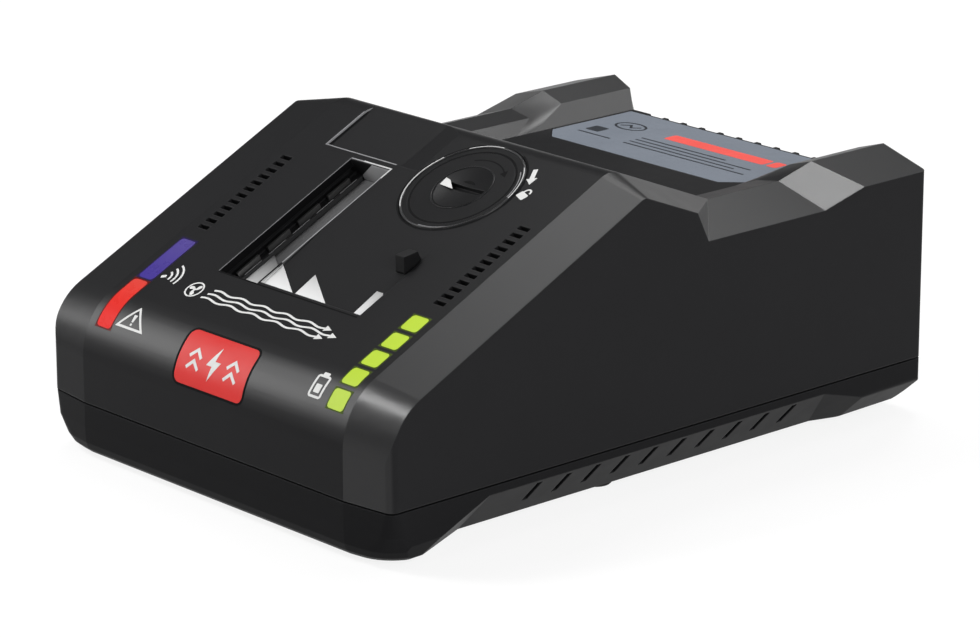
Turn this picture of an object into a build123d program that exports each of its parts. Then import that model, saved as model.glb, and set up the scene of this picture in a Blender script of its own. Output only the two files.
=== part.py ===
"""Slide-on battery charger with active cooling, built as separate pieces.

One STEP file is written per piece. Sizes are millimetres. X runs across the charger,
Y from the front face to the rear wall and Z up from the surface it stands on. Every
piece is drawn with Y measured from the front face; export moves the whole assembly so
that the origin is the middle of the footprint. Deck coordinates are (across, along the
deck from where the nose ends, out of the deck).
"""
import os
from math import atan2, cos, degrees, radians, sin, sqrt, tan

from build123d import *

# ---------------------------------------------------------------- driving dimensions
# housing
WIDTH = 150.0
LENGTH = 211.0
WALL = 2.6
SEAM_HEIGHT = 16.6
SEAM_GAP = 0.5
TONGUE_HEIGHT = 3.0
TONGUE_WALL = 1.2
FRONT_CORNER = 2.6
REAR_CORNER = 1.6
FIT = 0.15                 # between fixed pieces that slip into each other
RUNNING_GAP = 0.3          # between pieces that move past each other
SHAFT_GAP = 0.05           # between a spinning shaft and its bearing
OVERLAP = 1.0              # how far a cutter or a joined body passes the face it meets

# side profile of the upper housing
DECK_ANGLE = 25.9
NOSE_HEIGHT = 43.3
NOSE_RADIUS = 20.5
RIDGE_Y = 98.6
RIDGE_RADIUS = 8.0
BACK_ANGLE = 22.0
SADDLE_HEIGHT = 75.5
HORN_RISE = 3.5
PLATEAU_HEIGHT = 71.4
FLANK_WIDTH = 14.6         # slope from the horns' crest down to the plateau
FLANK_BULGE = (0.42, 0.66) # where the slope bends, as shares of its width and height
BAND_WIDTH = 17.4          # bevelled band along both sides
BAND_DROP = 2.2
BAND_BACK_DROP = 4.8       # fall of the band behind the ridge
LEDGE_DROP = 5.0           # fall of the band on the horns
LEDGE_LOW_DROP = 1.5       # fall of the band behind the notch, from the plateau
LEDGE_RAMP = (43.0, 26.5)  # foot and top of the horns' ramp, from the rear wall
CREST_RAMP = (44.5, 31.0)
FLANK_RAMP = (55.0, 48.0)
NOTCH_SWEEP = 19.6
NOTCH_LEAN = 0.5           # run of the notch's wall for each millimetre down
REAR_BREAK_DROP = 11.0     # sloped outlet above the rear wall
REAR_BREAK_RUN = 6.0

# lower housing
SHELL_BOTTOM = 1.2
FLOOR = 2.4
FRONT_FOOT = (2.0, 5.0)    # run and rise of the side's slope at the front
REAR_FOOT = (10.0, 8.7)
SIDE_FOOT_ROUND = 2.0
FRONT_FOOT_ROUND = 1.4
REAR_FOOT_ROUND = 3.0
# rise above the floor, inset and plan radius of the front corners
TRAY_LEVELS = ((0.0, 2.4, 13.0), (1.2, 1.1, 12.6), (3.4, 0.2, 11.0), (8.2, 0.0, 5.0))
FACET_TOP = 14.0
FACET_RUN = 11.5
FACET_BOTTOM = 2.0
# three points of each leg's slanted face: in from the side, along from the leg's end, up
FRONT_LEG = ((0.0, 8.0, 1.2), (0.0, 37.5, 14.0), (12.2, 36.5, 1.2))
REAR_LEG = ((0.0, 43.0, 14.4), (0.0, 22.0, 8.6), (12.2, 35.0, 1.2))
SIDE_VENTS = 10
SIDE_VENT_PITCH = 11.2
SIDE_VENT_WIDTH = 2.0
SIDE_VENT_LENGTH = 9.5
SIDE_VENT_FIRST = 57.0
FLOOR_VENTS = 8
FLOOR_VENT_PITCH = 6.0
FLOOR_VENT_WIDTH = 2.2
FLOOR_VENT_LENGTH = 18.0
FLOOR_VENT_X = 30.0

# battery bay on the deck
SLOT_LEFT = -29.3
SLOT_WIDTH = 17.0
SLOT_START = 18.4
SLOT_LENGTH = 55.0
SLOT_DEPTH = 7.0
UNDERCUT = 2.0
UNDERCUT_HEIGHT = 2.2
BAY_RIGHT = 31.5
BAY_SETBACK = 0.8
BAY_STEP = 1.1
BAY_RUN = 30.0
RECESS_LEFT = -43.5
RECESS_VALLEY = -12.0
RECESS_RIGHT = -3.0
RECESS_STEP = 0.9
RECESS_DEPTH = 1.5
RECESS_START = 2.8         # above the slot's upper end
KEY_X = 26.8
KEY_START = 38.3
KEY_LENGTH = 6.8
KEY_WIDTH = 3.6
KEY_HEIGHT = 4.2
KEY_LEAN = 1.9
KEY_TAIL = 2.6
KEY_FLANGE = 1.0

# contacts at the foot of the slot's left wall, and the pale lead-in plates
CONTACTS = 4
CONTACT_FIRST = 4.0
CONTACT_LENGTH = 9.0
CONTACT_PITCH = 12.6
CONTACT_BLADE = 0.8
CONTACT_HEIGHT = 3.4
CONTACT_TAIL = 2.0
CARRIER_WIDTH = 2.6
CARRIER_HEIGHT = 1.8
PLATE_LENGTH = 8.9
SLOT_PLATE_SHORT = 7.1
SLOT_PLATE_LONG = 16.0
PLATE_RUN = 13.8
PLATE_PITCH = 14.3
PLATE_FIRST = -12.1
PLATES = 2
PLATE_THICKNESS = 0.8
PLATE_SINK = 0.5
PLATE_PROUD = 0.15
BAR_WIDTH = 3.7
BAR_LENGTH = 10.4
BAR_CUT = 1.2

# deck vents
DECK_VENTS = 12
DECK_VENT_INSET = 23.4
DECK_VENT_START = 31.2
DECK_VENT_PITCH = 3.15
DECK_VENT_WIDTH = 4.4
DECK_VENT_SLIT = 1.6

# lights
LIGHT_INSET = 23.9
LIGHT_WIDTH = 6.8
LIGHT_START = -12.6
LIGHT_LENGTH = 38.2
LIGHT_SPLIT = 0.9
SEGMENTS = 5
SEGMENT_SPLIT = 1.5
LIGHT_FLANGE = 1.0
LIGHT_LEG = 3.0
LED_SIZE = 3.2
LED_HEIGHT = 0.9

# fast-charge button
BUTTON_WIDTH = 30.0
BUTTON_HEIGHT = 16.0
BUTTON_X = -1.0
BUTTON_CORNER = 2.4
BUTTON_NOSE_ANGLE = 33.2   # from the end of the deck down round the nose
BUTTON_TRAVEL = 1.0
BUTTON_THICKNESS = 3.2
BUTTON_FLANGE = 1.2
BUTTON_LIP = 1.4
BUTTON_STEM = 2.2

# module cover and what lies under it
COVER_X = 17.7
COVER_AT = 75.0
COVER_RADIUS = 19.1
COVER_THICKNESS = 2.4
COVER_SKIRT = 3.6
COVER_LEDGE = 1.6
COVER_RING = 16.5
COVER_RING_WIDTH = 0.6
COVER_DISH = 9.2
COVER_DISH_DEPTH = 0.6
COIN_SLOT_LENGTH = 16.5
COIN_SLOT_WIDTH = 2.3
COIN_SLOT_DEPTH = 1.9
SEAL_HEIGHT = 1.2
SEAL_WIDTH = 0.9
MODULE_RADIUS = 15.0
MODULE_HEIGHT = 5.0
MODULE_NOTCH = 6.0
CELL_RADIUS = 10.0
CELL_HEIGHT = 3.2
CELL_STEP = 0.6

# circuit boards and what they carry
BOARD = 1.6
BOARD_STANDOFF = 5.0
BOARD_CLEARANCE = 6.0      # from the housing screws
BOARD_FRONT = 56.0
BOARD_GAP = 13.5           # between the main board and the fan
BOARD_SCREW_INSET = 4.0
BOARD_SCREW_RADIUS = 1.2
BOARD_SCREW_HEAD = 2.2
BOARD_SCREW_HEIGHT = 1.4
BOARD_SCREW_LENGTH = 4.0
PILLAR = 2.6
STANDOFF = 3.2
DISPLAY_MARGIN = 2.9
DISPLAY_DEPTH = 12.0
DISPLAY_START = 0.5
DISPLAY_LENGTH = 27.0
DISPLAY_PILLAR_INSET = 13.0
SWITCH_BODY = 6.0
SWITCH_BOARD_DEPTH = 11.2
SWITCH_HEIGHT = 2.6
SWITCH_STEP = 0.5
SWITCH_PLUNGER = 1.8
SWITCH_PILLAR_SIDE = 5.0
COMPONENT_EDGE = 1.0
BULK_RADIUS = 9.0
BULK_HEIGHT = 32.0
# places on the board: share of its half width from the middle, share of its length
BULK_SPOTS = ((-0.65, 0.20), (-0.23, 0.20))
OUTPUT_RADIUS = 5.0
OUTPUT_HEIGHT = 20.0
OUTPUT_COUNT = 3
OUTPUT_GAP = 2.0
OUTPUT_SPOT = (0.15, 0.15)
CORE_WIDTH = 34.0
CORE_DEPTH = 18.0
CORE_HEIGHT = 28.0
CORE_LIMB = 5.0
CORE_SPOT = (-0.38, 0.52)
WINDING_RADIUS = 11.5
SINK_SHARE = 0.54
SINK_HEIGHT = 34.0
SINK_DEPTH = 18.0
SINK_BASE = 3.0
SINK_FINS = 9
SINK_FIN = 1.6
SINK_SPOT = (0.62, 0.56)
TRANSISTORS = 3
TRANSISTOR_PITCH = 20.0
TRANSISTOR_SIZE = (4.4, 10.0, 15.0)
TRANSISTOR_RISE = 4.5
TRANSISTOR_LEGS = (0.8, 6.0)
CHOKE_RADIUS = 12.6
CHOKE_HOLE = 5.4
CHOKE_DEPTH = 7.2
CHOKE_FOOT = (10.0, 14.0, 1.6)
CHOKE_SPOT = (-0.81, 0.76)
FILM_SIZE = (10.0, 18.0, 15.0)
FILM_SPOT = (-0.38, 0.75)
RELAY_SIZE = (16.0, 20.0, 16.0)
RELAY_SPOT = (0.12, 0.84)
FUSE_LENGTH = 20.0
FUSE_RADIUS = 2.6
FUSE_CAP = 6.0
FUSE_CAP_STEP = 0.2
FUSE_LIFT = 1.4
FUSE_SPOT = (-0.17, 0.85)
CLIP_BASE = 6.4
CLIP_WIDTH = 4.0
CLIP_HEIGHT = 6.0
CLIP_SHEET = 0.6
PLUG_SIZE = (18.0, 6.0, 8.0)
PLUG_WALL = 1.0
PLUG_SPOT = (0.19, 0.05)
TERMINAL_SIZE = (16.0, 10.0, 11.0)
TERMINAL_PITCH = 8.0
TERMINAL_MOUTH = 5.0
TERMINAL_SCREW = 1.8
TERMINAL_SPOT = (-0.54, 0.94)

# fan
FAN_HEADROOM = 5.2
FAN_DEPTH = 15.0
FAN_RIM = 2.0
FAN_FROM_REAR = 23.5
FAN_HUB = 11.0
FAN_CUP = 1.4
FAN_SHAFT = 1.5
FAN_BEARING = 3.2
FAN_SPOKES = 4
FAN_BLADES = 7
FAN_BLADE_THICKNESS = 1.1
FAN_ROOT_CHORD = 10.2
FAN_TIP_CHORD = 12.0
FAN_TIP_GAP = 0.8
FAN_PLATE = 2.0
FAN_SPOKE_WIDTH = 3.0
FAN_HOLE = 2.2
FAN_HOLE_INSET = 5.0
FAN_ROOT_PITCH = 48.0
FAN_TIP_PITCH = 28.0
CRADLE_RIB = 1.6
CRADLE_HEIGHT = 7.0

# cord inlet, screws and feet
INLET_GAP = 4.5            # between the cord's clamp and the fan
INLET_BORE = 3.7
INLET_OUTER = 6.4
INLET_LIP = 1.2
INLET_DEPTH = 9.0
CLAMP_FROM_REAR = 19.0
CLAMP_DEPTH = 6.0
CLAMP_HALF = 9.5
CLAMP_BAR = 3.2
CLAMP_RISE = 1.1
CLAMP_SCREW_X = 7.0
SCREW_INSET = 17.0
SCREW_FRONT = 46.0
SCREW_FROM_REAR = 31.0
SCREW_SHANK = 1.9
SCREW_HEAD = 3.4
SCREW_HEAD_HEIGHT = 2.4
SCREW_GRIP = 14.0
SCREW_CHAMFER = 0.3        # of the head's height
BOSS_RADIUS = 4.2
FOOT_INSET = 17.6
FOOT_RADIUS = 4.7
FOOT_SEAT = 0.8
FOOT_CHAMFER = 0.5
FOOT_FRONT = 18.0
FOOT_MIDDLE = 94.0
FOOT_FROM_REAR = 17.0

# rear label and outlet grille
LABEL_MARGIN = 1.2
LABEL_FROM_REAR = 47.5
LABEL_LENGTH = 39.5
LABEL_CUT = 6.0
LABEL_THICKNESS = 0.5
OUTLET_SLOTS = 9
OUTLET_PITCH = 8.0
OUTLET_RIB = 1.7
GRILLE_COLUMNS = 3
GRILLE_ROWS = 8
GRILLE_PITCH = 4.8
GRILLE_SLIT = 2.8

# ---------------------------------------------------------------- worked out from them
HALF = WIDTH / 2
CREST = HALF - BAND_WIDTH
LIGHT_X = HALF - LIGHT_INSET
DECK_VENT_X = HALF - DECK_VENT_INSET
DISPLAY_HALF = LIGHT_X + DISPLAY_MARGIN
DISPLAY_PILLAR_X = DISPLAY_HALF - DISPLAY_PILLAR_INSET
SCREW_X = HALF - SCREW_INSET
BOARD_HALF = SCREW_X - BOARD_CLEARANCE
FOOT_X = HALF - FOOT_INSET
UPPER_BASE = SEAM_HEIGHT + SEAM_GAP / 2
LOWER_TOP = SEAM_HEIGHT - SEAM_GAP / 2
FLOOR_TOP = SHELL_BOTTOM + FLOOR
DECK_RISE = tan(radians(DECK_ANGLE))
RIDGE_Z = NOSE_HEIGHT + DECK_RISE * RIDGE_Y
SADDLE_Y = RIDGE_Y + (RIDGE_Z - SADDLE_HEIGHT) / tan(radians(BACK_ANGLE))
NOTCH_Y = SADDLE_Y - NOTCH_SWEEP
FRONT_BLOCK_END = RIDGE_Y + (RIDGE_Z - PLATEAU_HEIGHT + WALL) / tan(radians(BACK_ANGLE))
REAR_BLOCK_START = NOTCH_Y - WALL
PLATEAU_HALF = CREST - FLANK_WIDTH
REAR_BREAK_Z = PLATEAU_HEIGHT - REAR_BREAK_DROP
NOSE_TANGENT = NOSE_RADIUS * tan(radians(90 - DECK_ANGLE) / 2)
NOSE_CENTRE = (NOSE_RADIUS, NOSE_HEIGHT - NOSE_TANGENT)
DECK_DIRECTION = (cos(radians(DECK_ANGLE)), sin(radians(DECK_ANGLE)))
DECK_NORMAL = (-DECK_DIRECTION[1], DECK_DIRECTION[0])
DECK_START = (NOSE_TANGENT * DECK_DIRECTION[0], NOSE_HEIGHT + NOSE_TANGENT * DECK_DIRECTION[1])
DECK_LENGTH = (RIDGE_Y - DECK_START[0]) / DECK_DIRECTION[0]
DECK = Plane(origin=(0, *DECK_START), x_dir=(1, 0, 0), z_dir=(0, *DECK_NORMAL)).location
BUTTON_ANGLE = radians(90 + DECK_ANGLE + BUTTON_NOSE_ANGLE)
BUTTON_NORMAL = (cos(BUTTON_ANGLE), sin(BUTTON_ANGLE))
BUTTON_CENTRE = [NOSE_CENTRE[i] + NOSE_RADIUS * BUTTON_NORMAL[i] for i in range(2)]
BUTTON = Plane(
    origin=(BUTTON_X, *BUTTON_CENTRE), x_dir=(1, 0, 0), z_dir=(0, *BUTTON_NORMAL)
).location
COVER = DECK * Pos(COVER_X, COVER_AT, 0)
SLOT_RIGHT = SLOT_LEFT + SLOT_WIDTH
SLOT_END = SLOT_START + SLOT_LENGTH
BAY_START = SLOT_START + BAY_SETBACK
WELL_RADIUS = COVER_RADIUS - COVER_LEDGE
WELL_DEPTH = COVER_THICKNESS + COVER_SKIRT + CELL_HEIGHT + MODULE_HEIGHT
LIP_TOP = WALL + RUNNING_GAP
SWITCH_TOP = LIP_TOP + BUTTON_FLANGE + BUTTON_TRAVEL + 2 * RUNNING_GAP
SWITCH_DEPTH = SWITCH_TOP + SWITCH_HEIGHT
SWITCH_PILLARS = [side * (BUTTON_WIDTH / 2 + SWITCH_PILLAR_SIDE) for side in (-1, 1)]
DISPLAY_PILLARS = [
    (side * DISPLAY_PILLAR_X, t)
    for side in (-1, 1)
    for t in (DISPLAY_START + BOARD_SCREW_INSET, DISPLAY_START + DISPLAY_LENGTH - BOARD_SCREW_INSET)
]
SCREW_REAR = LENGTH - SCREW_FROM_REAR
SCREW_SPOTS = [(side * SCREW_X, y) for side in (-1, 1) for y in (SCREW_FRONT, SCREW_REAR)]
SCREW_SEAT = FLOOR_TOP + SCREW_HEAD_HEIGHT
FOOT_ROWS = (FOOT_FRONT, FOOT_MIDDLE, LENGTH - FOOT_FROM_REAR)
FOOT_SPOTS = [(side * FOOT_X, y) for side in (-1, 1) for y in FOOT_ROWS]
BOARD_BOTTOM = FLOOR_TOP + BOARD_STANDOFF
BOARD_TOP = BOARD_BOTTOM + BOARD
FAN_FRONT = LENGTH - FAN_FROM_REAR
FAN_REAR = FAN_FRONT + FAN_DEPTH
FAN_SIZE = PLATEAU_HEIGHT - WALL - FAN_HEADROOM - FLOOR_TOP
FAN_BORE = FAN_SIZE / 2 - FAN_RIM
FAN_Z = FLOOR_TOP + FAN_SIZE / 2
INLET_X = -FAN_SIZE / 2 - CLAMP_HALF - INLET_GAP
BOARD_REAR = FAN_FRONT - BOARD_GAP
BOARD_LENGTH = BOARD_REAR - BOARD_FRONT
SINK_LENGTH = SINK_SHARE * BOARD_LENGTH
BOARD_SPOTS = [
    (side * (BOARD_HALF - BOARD_SCREW_INSET), y)
    for side in (-1, 1)
    for y in (BOARD_FRONT + BOARD_SCREW_INSET, BOARD_REAR - BOARD_SCREW_INSET)
]
CLAMP_Y = LENGTH - CLAMP_FROM_REAR
CLAMP_SPLIT = SEAM_HEIGHT + CLAMP_RISE
INLET_WAIST = INLET_OUTER - INLET_LIP
INLET_GRIP = LENGTH - WALL - TONGUE_WALL - 2 * FIT


# ---------------------------------------------------------------- shared shape helpers
def inset_corners(corners, depths):
    """Corners of a counter-clockwise outline after each edge moves inward by its depth."""
    moved = []
    for i, corner in enumerate(corners):
        here = Vector(*corner)
        before = (here - Vector(*corners[i - 1])).normalized()
        after = (Vector(*corners[(i + 1) % len(corners)]) - here).normalized()
        n1 = (-before.Y, before.X)
        n2 = (-after.Y, after.X)
        turn = n1[0] * n2[1] - n1[1] * n2[0]
        d1, d2 = depths[i - 1], depths[i]
        if abs(turn) < 1e-6:
            shift = (n2[0] * d2, n2[1] * d2)
        else:
            shift = ((d1 * n2[1] - d2 * n1[1]) / turn, (d2 * n1[0] - d1 * n2[0]) / turn)
        moved.append((corner[0] + shift[0], corner[1] + shift[1]))
    return moved


def outline(corners, rounds=()):
    """Flat face with the given corners; rounds lists (corner index, radius)."""
    face = make_face(Polyline(*corners, close=True))
    for index, radius in rounds:
        spot = face.vertices().sort_by_distance((*corners[index], 0))[0]
        face = fillet(spot, radius)
    return face


def at_x(x, face):
    """A face drawn in (y, z), stood up across the charger at x."""
    return Plane.YZ.offset(x) * face


def across(x0, x1, face):
    """A face drawn in (y, z), extruded from x0 to x1."""
    return extrude(at_x(x0, face), amount=x1 - x0)


def lengthwise(face):
    """A face drawn in (x, z), extruded from the front plane over the whole length."""
    return extrude(Plane.XZ * face, amount=-LENGTH)


def span_box(x0, x1, y0, y1, z0, z1):
    """Box between two opposite corners."""
    return Pos((x0 + x1) / 2, (y0 + y1) / 2, (z0 + z1) / 2) * Box(x1 - x0, y1 - y0, z1 - z0)


def deck_box(x0, x1, t0, t1, n0, n1):
    """Box in deck coordinates."""
    return DECK * span_box(x0, x1, t0, t1, n0, n1)


def upright(x, y, z0, z1, radius):
    """Vertical cylinder between two heights."""
    return Pos(x, y, (z0 + z1) / 2) * Cylinder(radius, z1 - z0)


def along_y(x, z, y0, y1, radius):
    """Cylinder along Y between two distances from the front."""
    return Pos(x, (y0 + y1) / 2, z) * Rot(90, 0, 0) * Cylinder(radius, y1 - y0)


def post(place, x, t, low, high, radius):
    """Cylinder square to a tilted place, between two heights above it."""
    return place * Pos(x, t, (low + high) / 2) * Cylinder(radius, high - low)


def mirrored(shape):
    """The shape with its mirror image across the middle of the charger."""
    return shape + mirror(shape, about=Plane.YZ)


def nose_outline(inset, base=UPPER_BASE, back=0.0):
    """Side outline of the front block, moved inward by inset; the back slope by more."""
    end = FRONT_BLOCK_END
    slope_end = RIDGE_Z - (end - RIDGE_Y) * tan(radians(BACK_ANGLE))
    corners = [(0, base), (end, base), (end, slope_end), (RIDGE_Y, RIDGE_Z), (0, NOSE_HEIGHT)]
    moved = inset_corners(corners, [0, 0, inset + back, inset, inset])
    return outline(moved, [(3, RIDGE_RADIUS - inset - back), (4, NOSE_RADIUS - inset)])


def nose_layer(outer, inner):
    """Layer between two depths under the nose and deck, over the whole width."""
    return across(-HALF, HALF, nose_outline(outer) - nose_outline(inner, UPPER_BASE - WALL))


def station(t):
    """Point on the outer profile and its outward normal, t along from the deck's start."""
    if t >= 0:
        return [DECK_START[i] + t * DECK_DIRECTION[i] for i in range(2)], DECK_NORMAL
    angle = radians(90 + DECK_ANGLE) - t / NOSE_RADIUS
    normal = (cos(angle), sin(angle))
    return [NOSE_CENTRE[i] + NOSE_RADIUS * normal[i] for i in range(2)], normal


def skin_strip(x0, x1, t0, t1, outer, inner):
    """Part of a layer between two stations and two sides."""
    reach = LIP_TOP + LIGHT_FLANGE
    (p0, n0), (p1, n1) = station(t0), station(t1)
    sector = outline([
        (p0[0] + reach * n0[0], p0[1] + reach * n0[1]),
        (p0[0] - 2 * reach * n0[0], p0[1] - 2 * reach * n0[1]),
        (p1[0] - 2 * reach * n1[0], p1[1] - 2 * reach * n1[1]),
        (p1[0] + reach * n1[0], p1[1] + reach * n1[1]),
    ])
    layer = nose_outline(outer) - nose_outline(inner, UPPER_BASE - WALL)
    return across(x0, x1, layer & sector)


# ---------------------------------------------------------------- upper housing
def front_block(inset, base):
    """Nose, deck, ridge and back slope, with the bevelled band at both sides."""
    half = HALF - inset
    band = nose_outline(inset + BAND_DROP, base, BAND_BACK_DROP - BAND_DROP)
    deck = nose_outline(inset, base)
    rows = [(-half, band), (-CREST, deck), (CREST, deck), (half, band)]
    block = loft([at_x(x, face) for x, face in rows], ruled=True)
    slant = NOTCH_SWEEP / BAND_WIDTH
    shift = inset * sqrt(1 + slant ** 2 + NOTCH_LEAN ** 2)

    def notch(z):
        start = SADDLE_Y - shift + NOTCH_LEAN * (SADDLE_HEIGHT - z)
        rear = start + FRONT_BLOCK_END
        corners = [
            (CREST, start), (HALF + WALL, start - NOTCH_SWEEP - WALL * slant),
            (HALF + WALL, rear), (CREST, rear),
        ]
        return Pos(0, 0, z) * outline(corners)

    return block - mirrored(loft([notch(0), notch(RIDGE_Z + WALL)], ruled=True))


def rear_block(inset, base):
    """Saddle, side horns, the plateau between them and the sloped outlet."""
    horn = SADDLE_HEIGHT + HORN_RISE
    ledge_low = PLATEAU_HEIGHT - LEDGE_LOW_DROP
    width_share, height_share = FLANK_BULGE
    bend = PLATEAU_HALF + width_share * FLANK_WIDTH
    bend_heights = [
        PLATEAU_HEIGHT + height_share * (height - PLATEAU_HEIGHT) for height in (horn, SADDLE_HEIGHT)
    ]

    def face(x, rear_run, high, low, ramp):
        foot, top = ramp
        corners = [
            (REAR_BLOCK_START, base),
            (LENGTH, base),
            (LENGTH, REAR_BREAK_Z),
            (LENGTH - rear_run, high),
            (LENGTH - top, high),
            (LENGTH - foot, low),
            (REAR_BLOCK_START, low),
        ]
        depths = [0, inset, inset, inset, inset, inset, 0]
        return at_x(x, outline(inset_corners(corners, depths)))

    rows = [
        (HALF - inset, (0, horn - LEDGE_DROP, ledge_low, LEDGE_RAMP)),
        (CREST, (0, horn, SADDLE_HEIGHT, CREST_RAMP)),
        (bend, (REAR_BREAK_RUN / 4, *bend_heights, CREST_RAMP)),
        (PLATEAU_HALF, (REAR_BREAK_RUN, PLATEAU_HEIGHT, PLATEAU_HEIGHT, FLANK_RAMP)),
    ]
    faces = [face(-x, *heights) for x, heights in rows]
    faces += [face(x, *heights) for x, heights in reversed(rows)]
    return loft(faces, ruled=True)


def footprint(inset, front_corner=FRONT_CORNER):
    """Plan outline of the housing with its rounded corners."""
    x = HALF - inset
    corners = [
        (-x, BAND_DROP + inset), (-CREST, inset), (CREST, inset), (x, BAND_DROP + inset),
        (x, LENGTH - inset), (-x, LENGTH - inset),
    ]
    shrink = min(inset, REAR_CORNER - OVERLAP)
    radii = [(0, front_corner), (3, front_corner), (4, REAR_CORNER), (5, REAR_CORNER)]
    return outline(corners, [(i, radius - shrink) for i, radius in radii])


def plan_block(inset, z0, z1):
    """Footprint of the housing as an upright block."""
    return Pos(0, 0, z0) * extrude(footprint(inset), amount=z1 - z0)


def upper_form(inset, base):
    """The upper housing's whole form, moved inward by inset."""
    form = front_block(inset, base) + rear_block(inset, base)
    return form & plan_block(inset, base, RIDGE_Z + WALL)


def slot_pocket():
    """Walls and floor round the guide slot, which hang below the deck."""
    return deck_box(
        SLOT_LEFT - UNDERCUT - WALL, SLOT_RIGHT + WALL,
        SLOT_START - WALL, SLOT_END + WALL,
        -SLOT_DEPTH - WALL, -WALL / 2,
    )


def slot_space():
    """The guide slot with the groove under its left edge."""
    middle = -SLOT_DEPTH / 2
    groove = deck_box(
        SLOT_LEFT - UNDERCUT, SLOT_LEFT, SLOT_START, SLOT_END,
        middle - UNDERCUT_HEIGHT / 2, middle + UNDERCUT_HEIGHT / 2,
    )
    return deck_box(SLOT_LEFT, SLOT_RIGHT, SLOT_START, SLOT_END, -SLOT_DEPTH, WALL) + groove


def bay_step():
    """Shallow step at the front of the bay, running out to nothing up the deck."""
    wedge = outline([
        (BAY_START, -BAY_STEP), (BAY_START + BAY_RUN, 0), (BAY_START + BAY_RUN, OVERLAP),
        (BAY_START, OVERLAP),
    ])
    return DECK * across(SLOT_LEFT, BAY_RIGHT, wedge)


def rail_recess():
    """Lead-in for the battery's rail: a tilted recess from the slot up over the ridge."""
    face = outline([
        (RECESS_LEFT, -RECESS_STEP),
        (RECESS_VALLEY, -RECESS_DEPTH),
        (RECESS_RIGHT, 0),
        (RECESS_RIGHT, RIDGE_RADIUS),
        (RECESS_LEFT, RIDGE_RADIUS),
    ])
    start = SLOT_END + RECESS_START
    run = extrude(Plane.XZ * face, amount=-(DECK_LENGTH + RIDGE_RADIUS - start))
    return DECK * Pos(0, start, 0) * run


def module_well(radius, top, bottom):
    """Round column square to the deck at the module cover."""
    return post(COVER, 0, 0, bottom, top, radius)


def light_window(x, t0, t1, margin, outer, inner):
    """Window or lens for one light, margin larger than the lens on each side."""
    half = LIGHT_WIDTH / 2 + margin
    return skin_strip(x - half, x + half, t0 - margin, t1 + margin, outer, inner)


def segment_spans():
    """Stations of the charge-level segments, from the nose up."""
    length = (LIGHT_LENGTH - (SEGMENTS - 1) * SEGMENT_SPLIT) / SEGMENTS
    starts = [LIGHT_START + i * (length + SEGMENT_SPLIT) for i in range(SEGMENTS)]
    return [(start, start + length) for start in starts]


def left_spans():
    """Stations of the fault light and the connection light."""
    middle = LIGHT_START + LIGHT_LENGTH / 2
    end = LIGHT_START + LIGHT_LENGTH
    return [(LIGHT_START, middle - LIGHT_SPLIT / 2), (middle + LIGHT_SPLIT / 2, end)]


def button_prism(margin, back, front):
    """Rounded block along the button's travel, margin larger than the button."""
    size = (BUTTON_WIDTH + 2 * margin, BUTTON_HEIGHT + 2 * margin)
    face = RectangleRounded(*size, BUTTON_CORNER + margin)
    return BUTTON * Pos(0, 0, back) * extrude(face, amount=front - back)


def deck_vents():
    """Rows of short slits through both edges of the deck."""
    cuts = []
    for i in range(DECK_VENTS):
        t = DECK_VENT_START + i * DECK_VENT_PITCH
        for side in (-1, 1):
            x = side * DECK_VENT_X
            half = DECK_VENT_WIDTH / 2
            cuts.append(deck_box(x - half, x + half, t, t + DECK_VENT_SLIT, -2 * WALL, WALL))
    return cuts


def outlet_slots():
    """Slots over the sloped outlet above the rear wall."""
    cuts = []
    half = (OUTLET_PITCH - OUTLET_RIB) / 2
    for i in range(OUTLET_SLOTS):
        x = (i - (OUTLET_SLOTS - 1) / 2) * OUTLET_PITCH
        cuts.append(span_box(
            x - half, x + half, LENGTH - REAR_BREAK_RUN - WALL / 2, LENGTH + WALL,
            REAR_BREAK_Z + WALL, PLATEAU_HEIGHT + WALL,
        ))
    return cuts


def rear_grille():
    """Rows of slits in the rear wall behind the fan."""
    cuts = []
    rib = 2 * OUTLET_RIB
    column = (FAN_SIZE - (GRILLE_COLUMNS - 1) * rib) / GRILLE_COLUMNS
    for row in range(GRILLE_ROWS):
        z = FAN_Z + (row - (GRILLE_ROWS - 1) / 2) * GRILLE_PITCH
        for i in range(GRILLE_COLUMNS):
            x = (i - (GRILLE_COLUMNS - 1) / 2) * (column + rib)
            cuts.append(span_box(
                x - column / 2, x + column / 2, LENGTH - 2 * WALL, LENGTH + WALL,
                z - GRILLE_SLIT / 2, z + GRILLE_SLIT / 2,
            ))
    return cuts


def label_outline(margin=0.0):
    """Outline of the rear label, its two front corners cut."""
    x = PLATEAU_HALF - LABEL_MARGIN + margin
    y0 = LENGTH - LABEL_FROM_REAR - margin
    y1 = y0 + LABEL_LENGTH + 2 * margin
    return outline([
        (-x + LABEL_CUT, y0), (x - LABEL_CUT, y0), (x, y0 + LABEL_CUT),
        (x, y1), (-x, y1), (-x, y0 + LABEL_CUT),
    ])


def inlet_hole():
    """Stepped round hole for the cord inlet, half in each housing."""
    through = along_y(INLET_X, SEAM_HEIGHT, LENGTH - 2 * WALL, LENGTH + WALL, INLET_WAIST + FIT)
    return through + along_y(
        INLET_X, SEAM_HEIGHT, LENGTH - INLET_LIP, LENGTH + WALL, INLET_OUTER + FIT
    )


def upper_pillars():
    """Screw pillars under the deck for the housing screws and the two front boards."""
    pillars = [upright(x, y, UPPER_BASE, RIDGE_Z, BOSS_RADIUS) for x, y in SCREW_SPOTS]
    pillars += [post(DECK, x, t, -DISPLAY_DEPTH, 0, PILLAR) for x, t in DISPLAY_PILLARS]
    pillars += [post(BUTTON, x, 0, -SWITCH_DEPTH, 0, PILLAR) for x in SWITCH_PILLARS]
    return pillars


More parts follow.
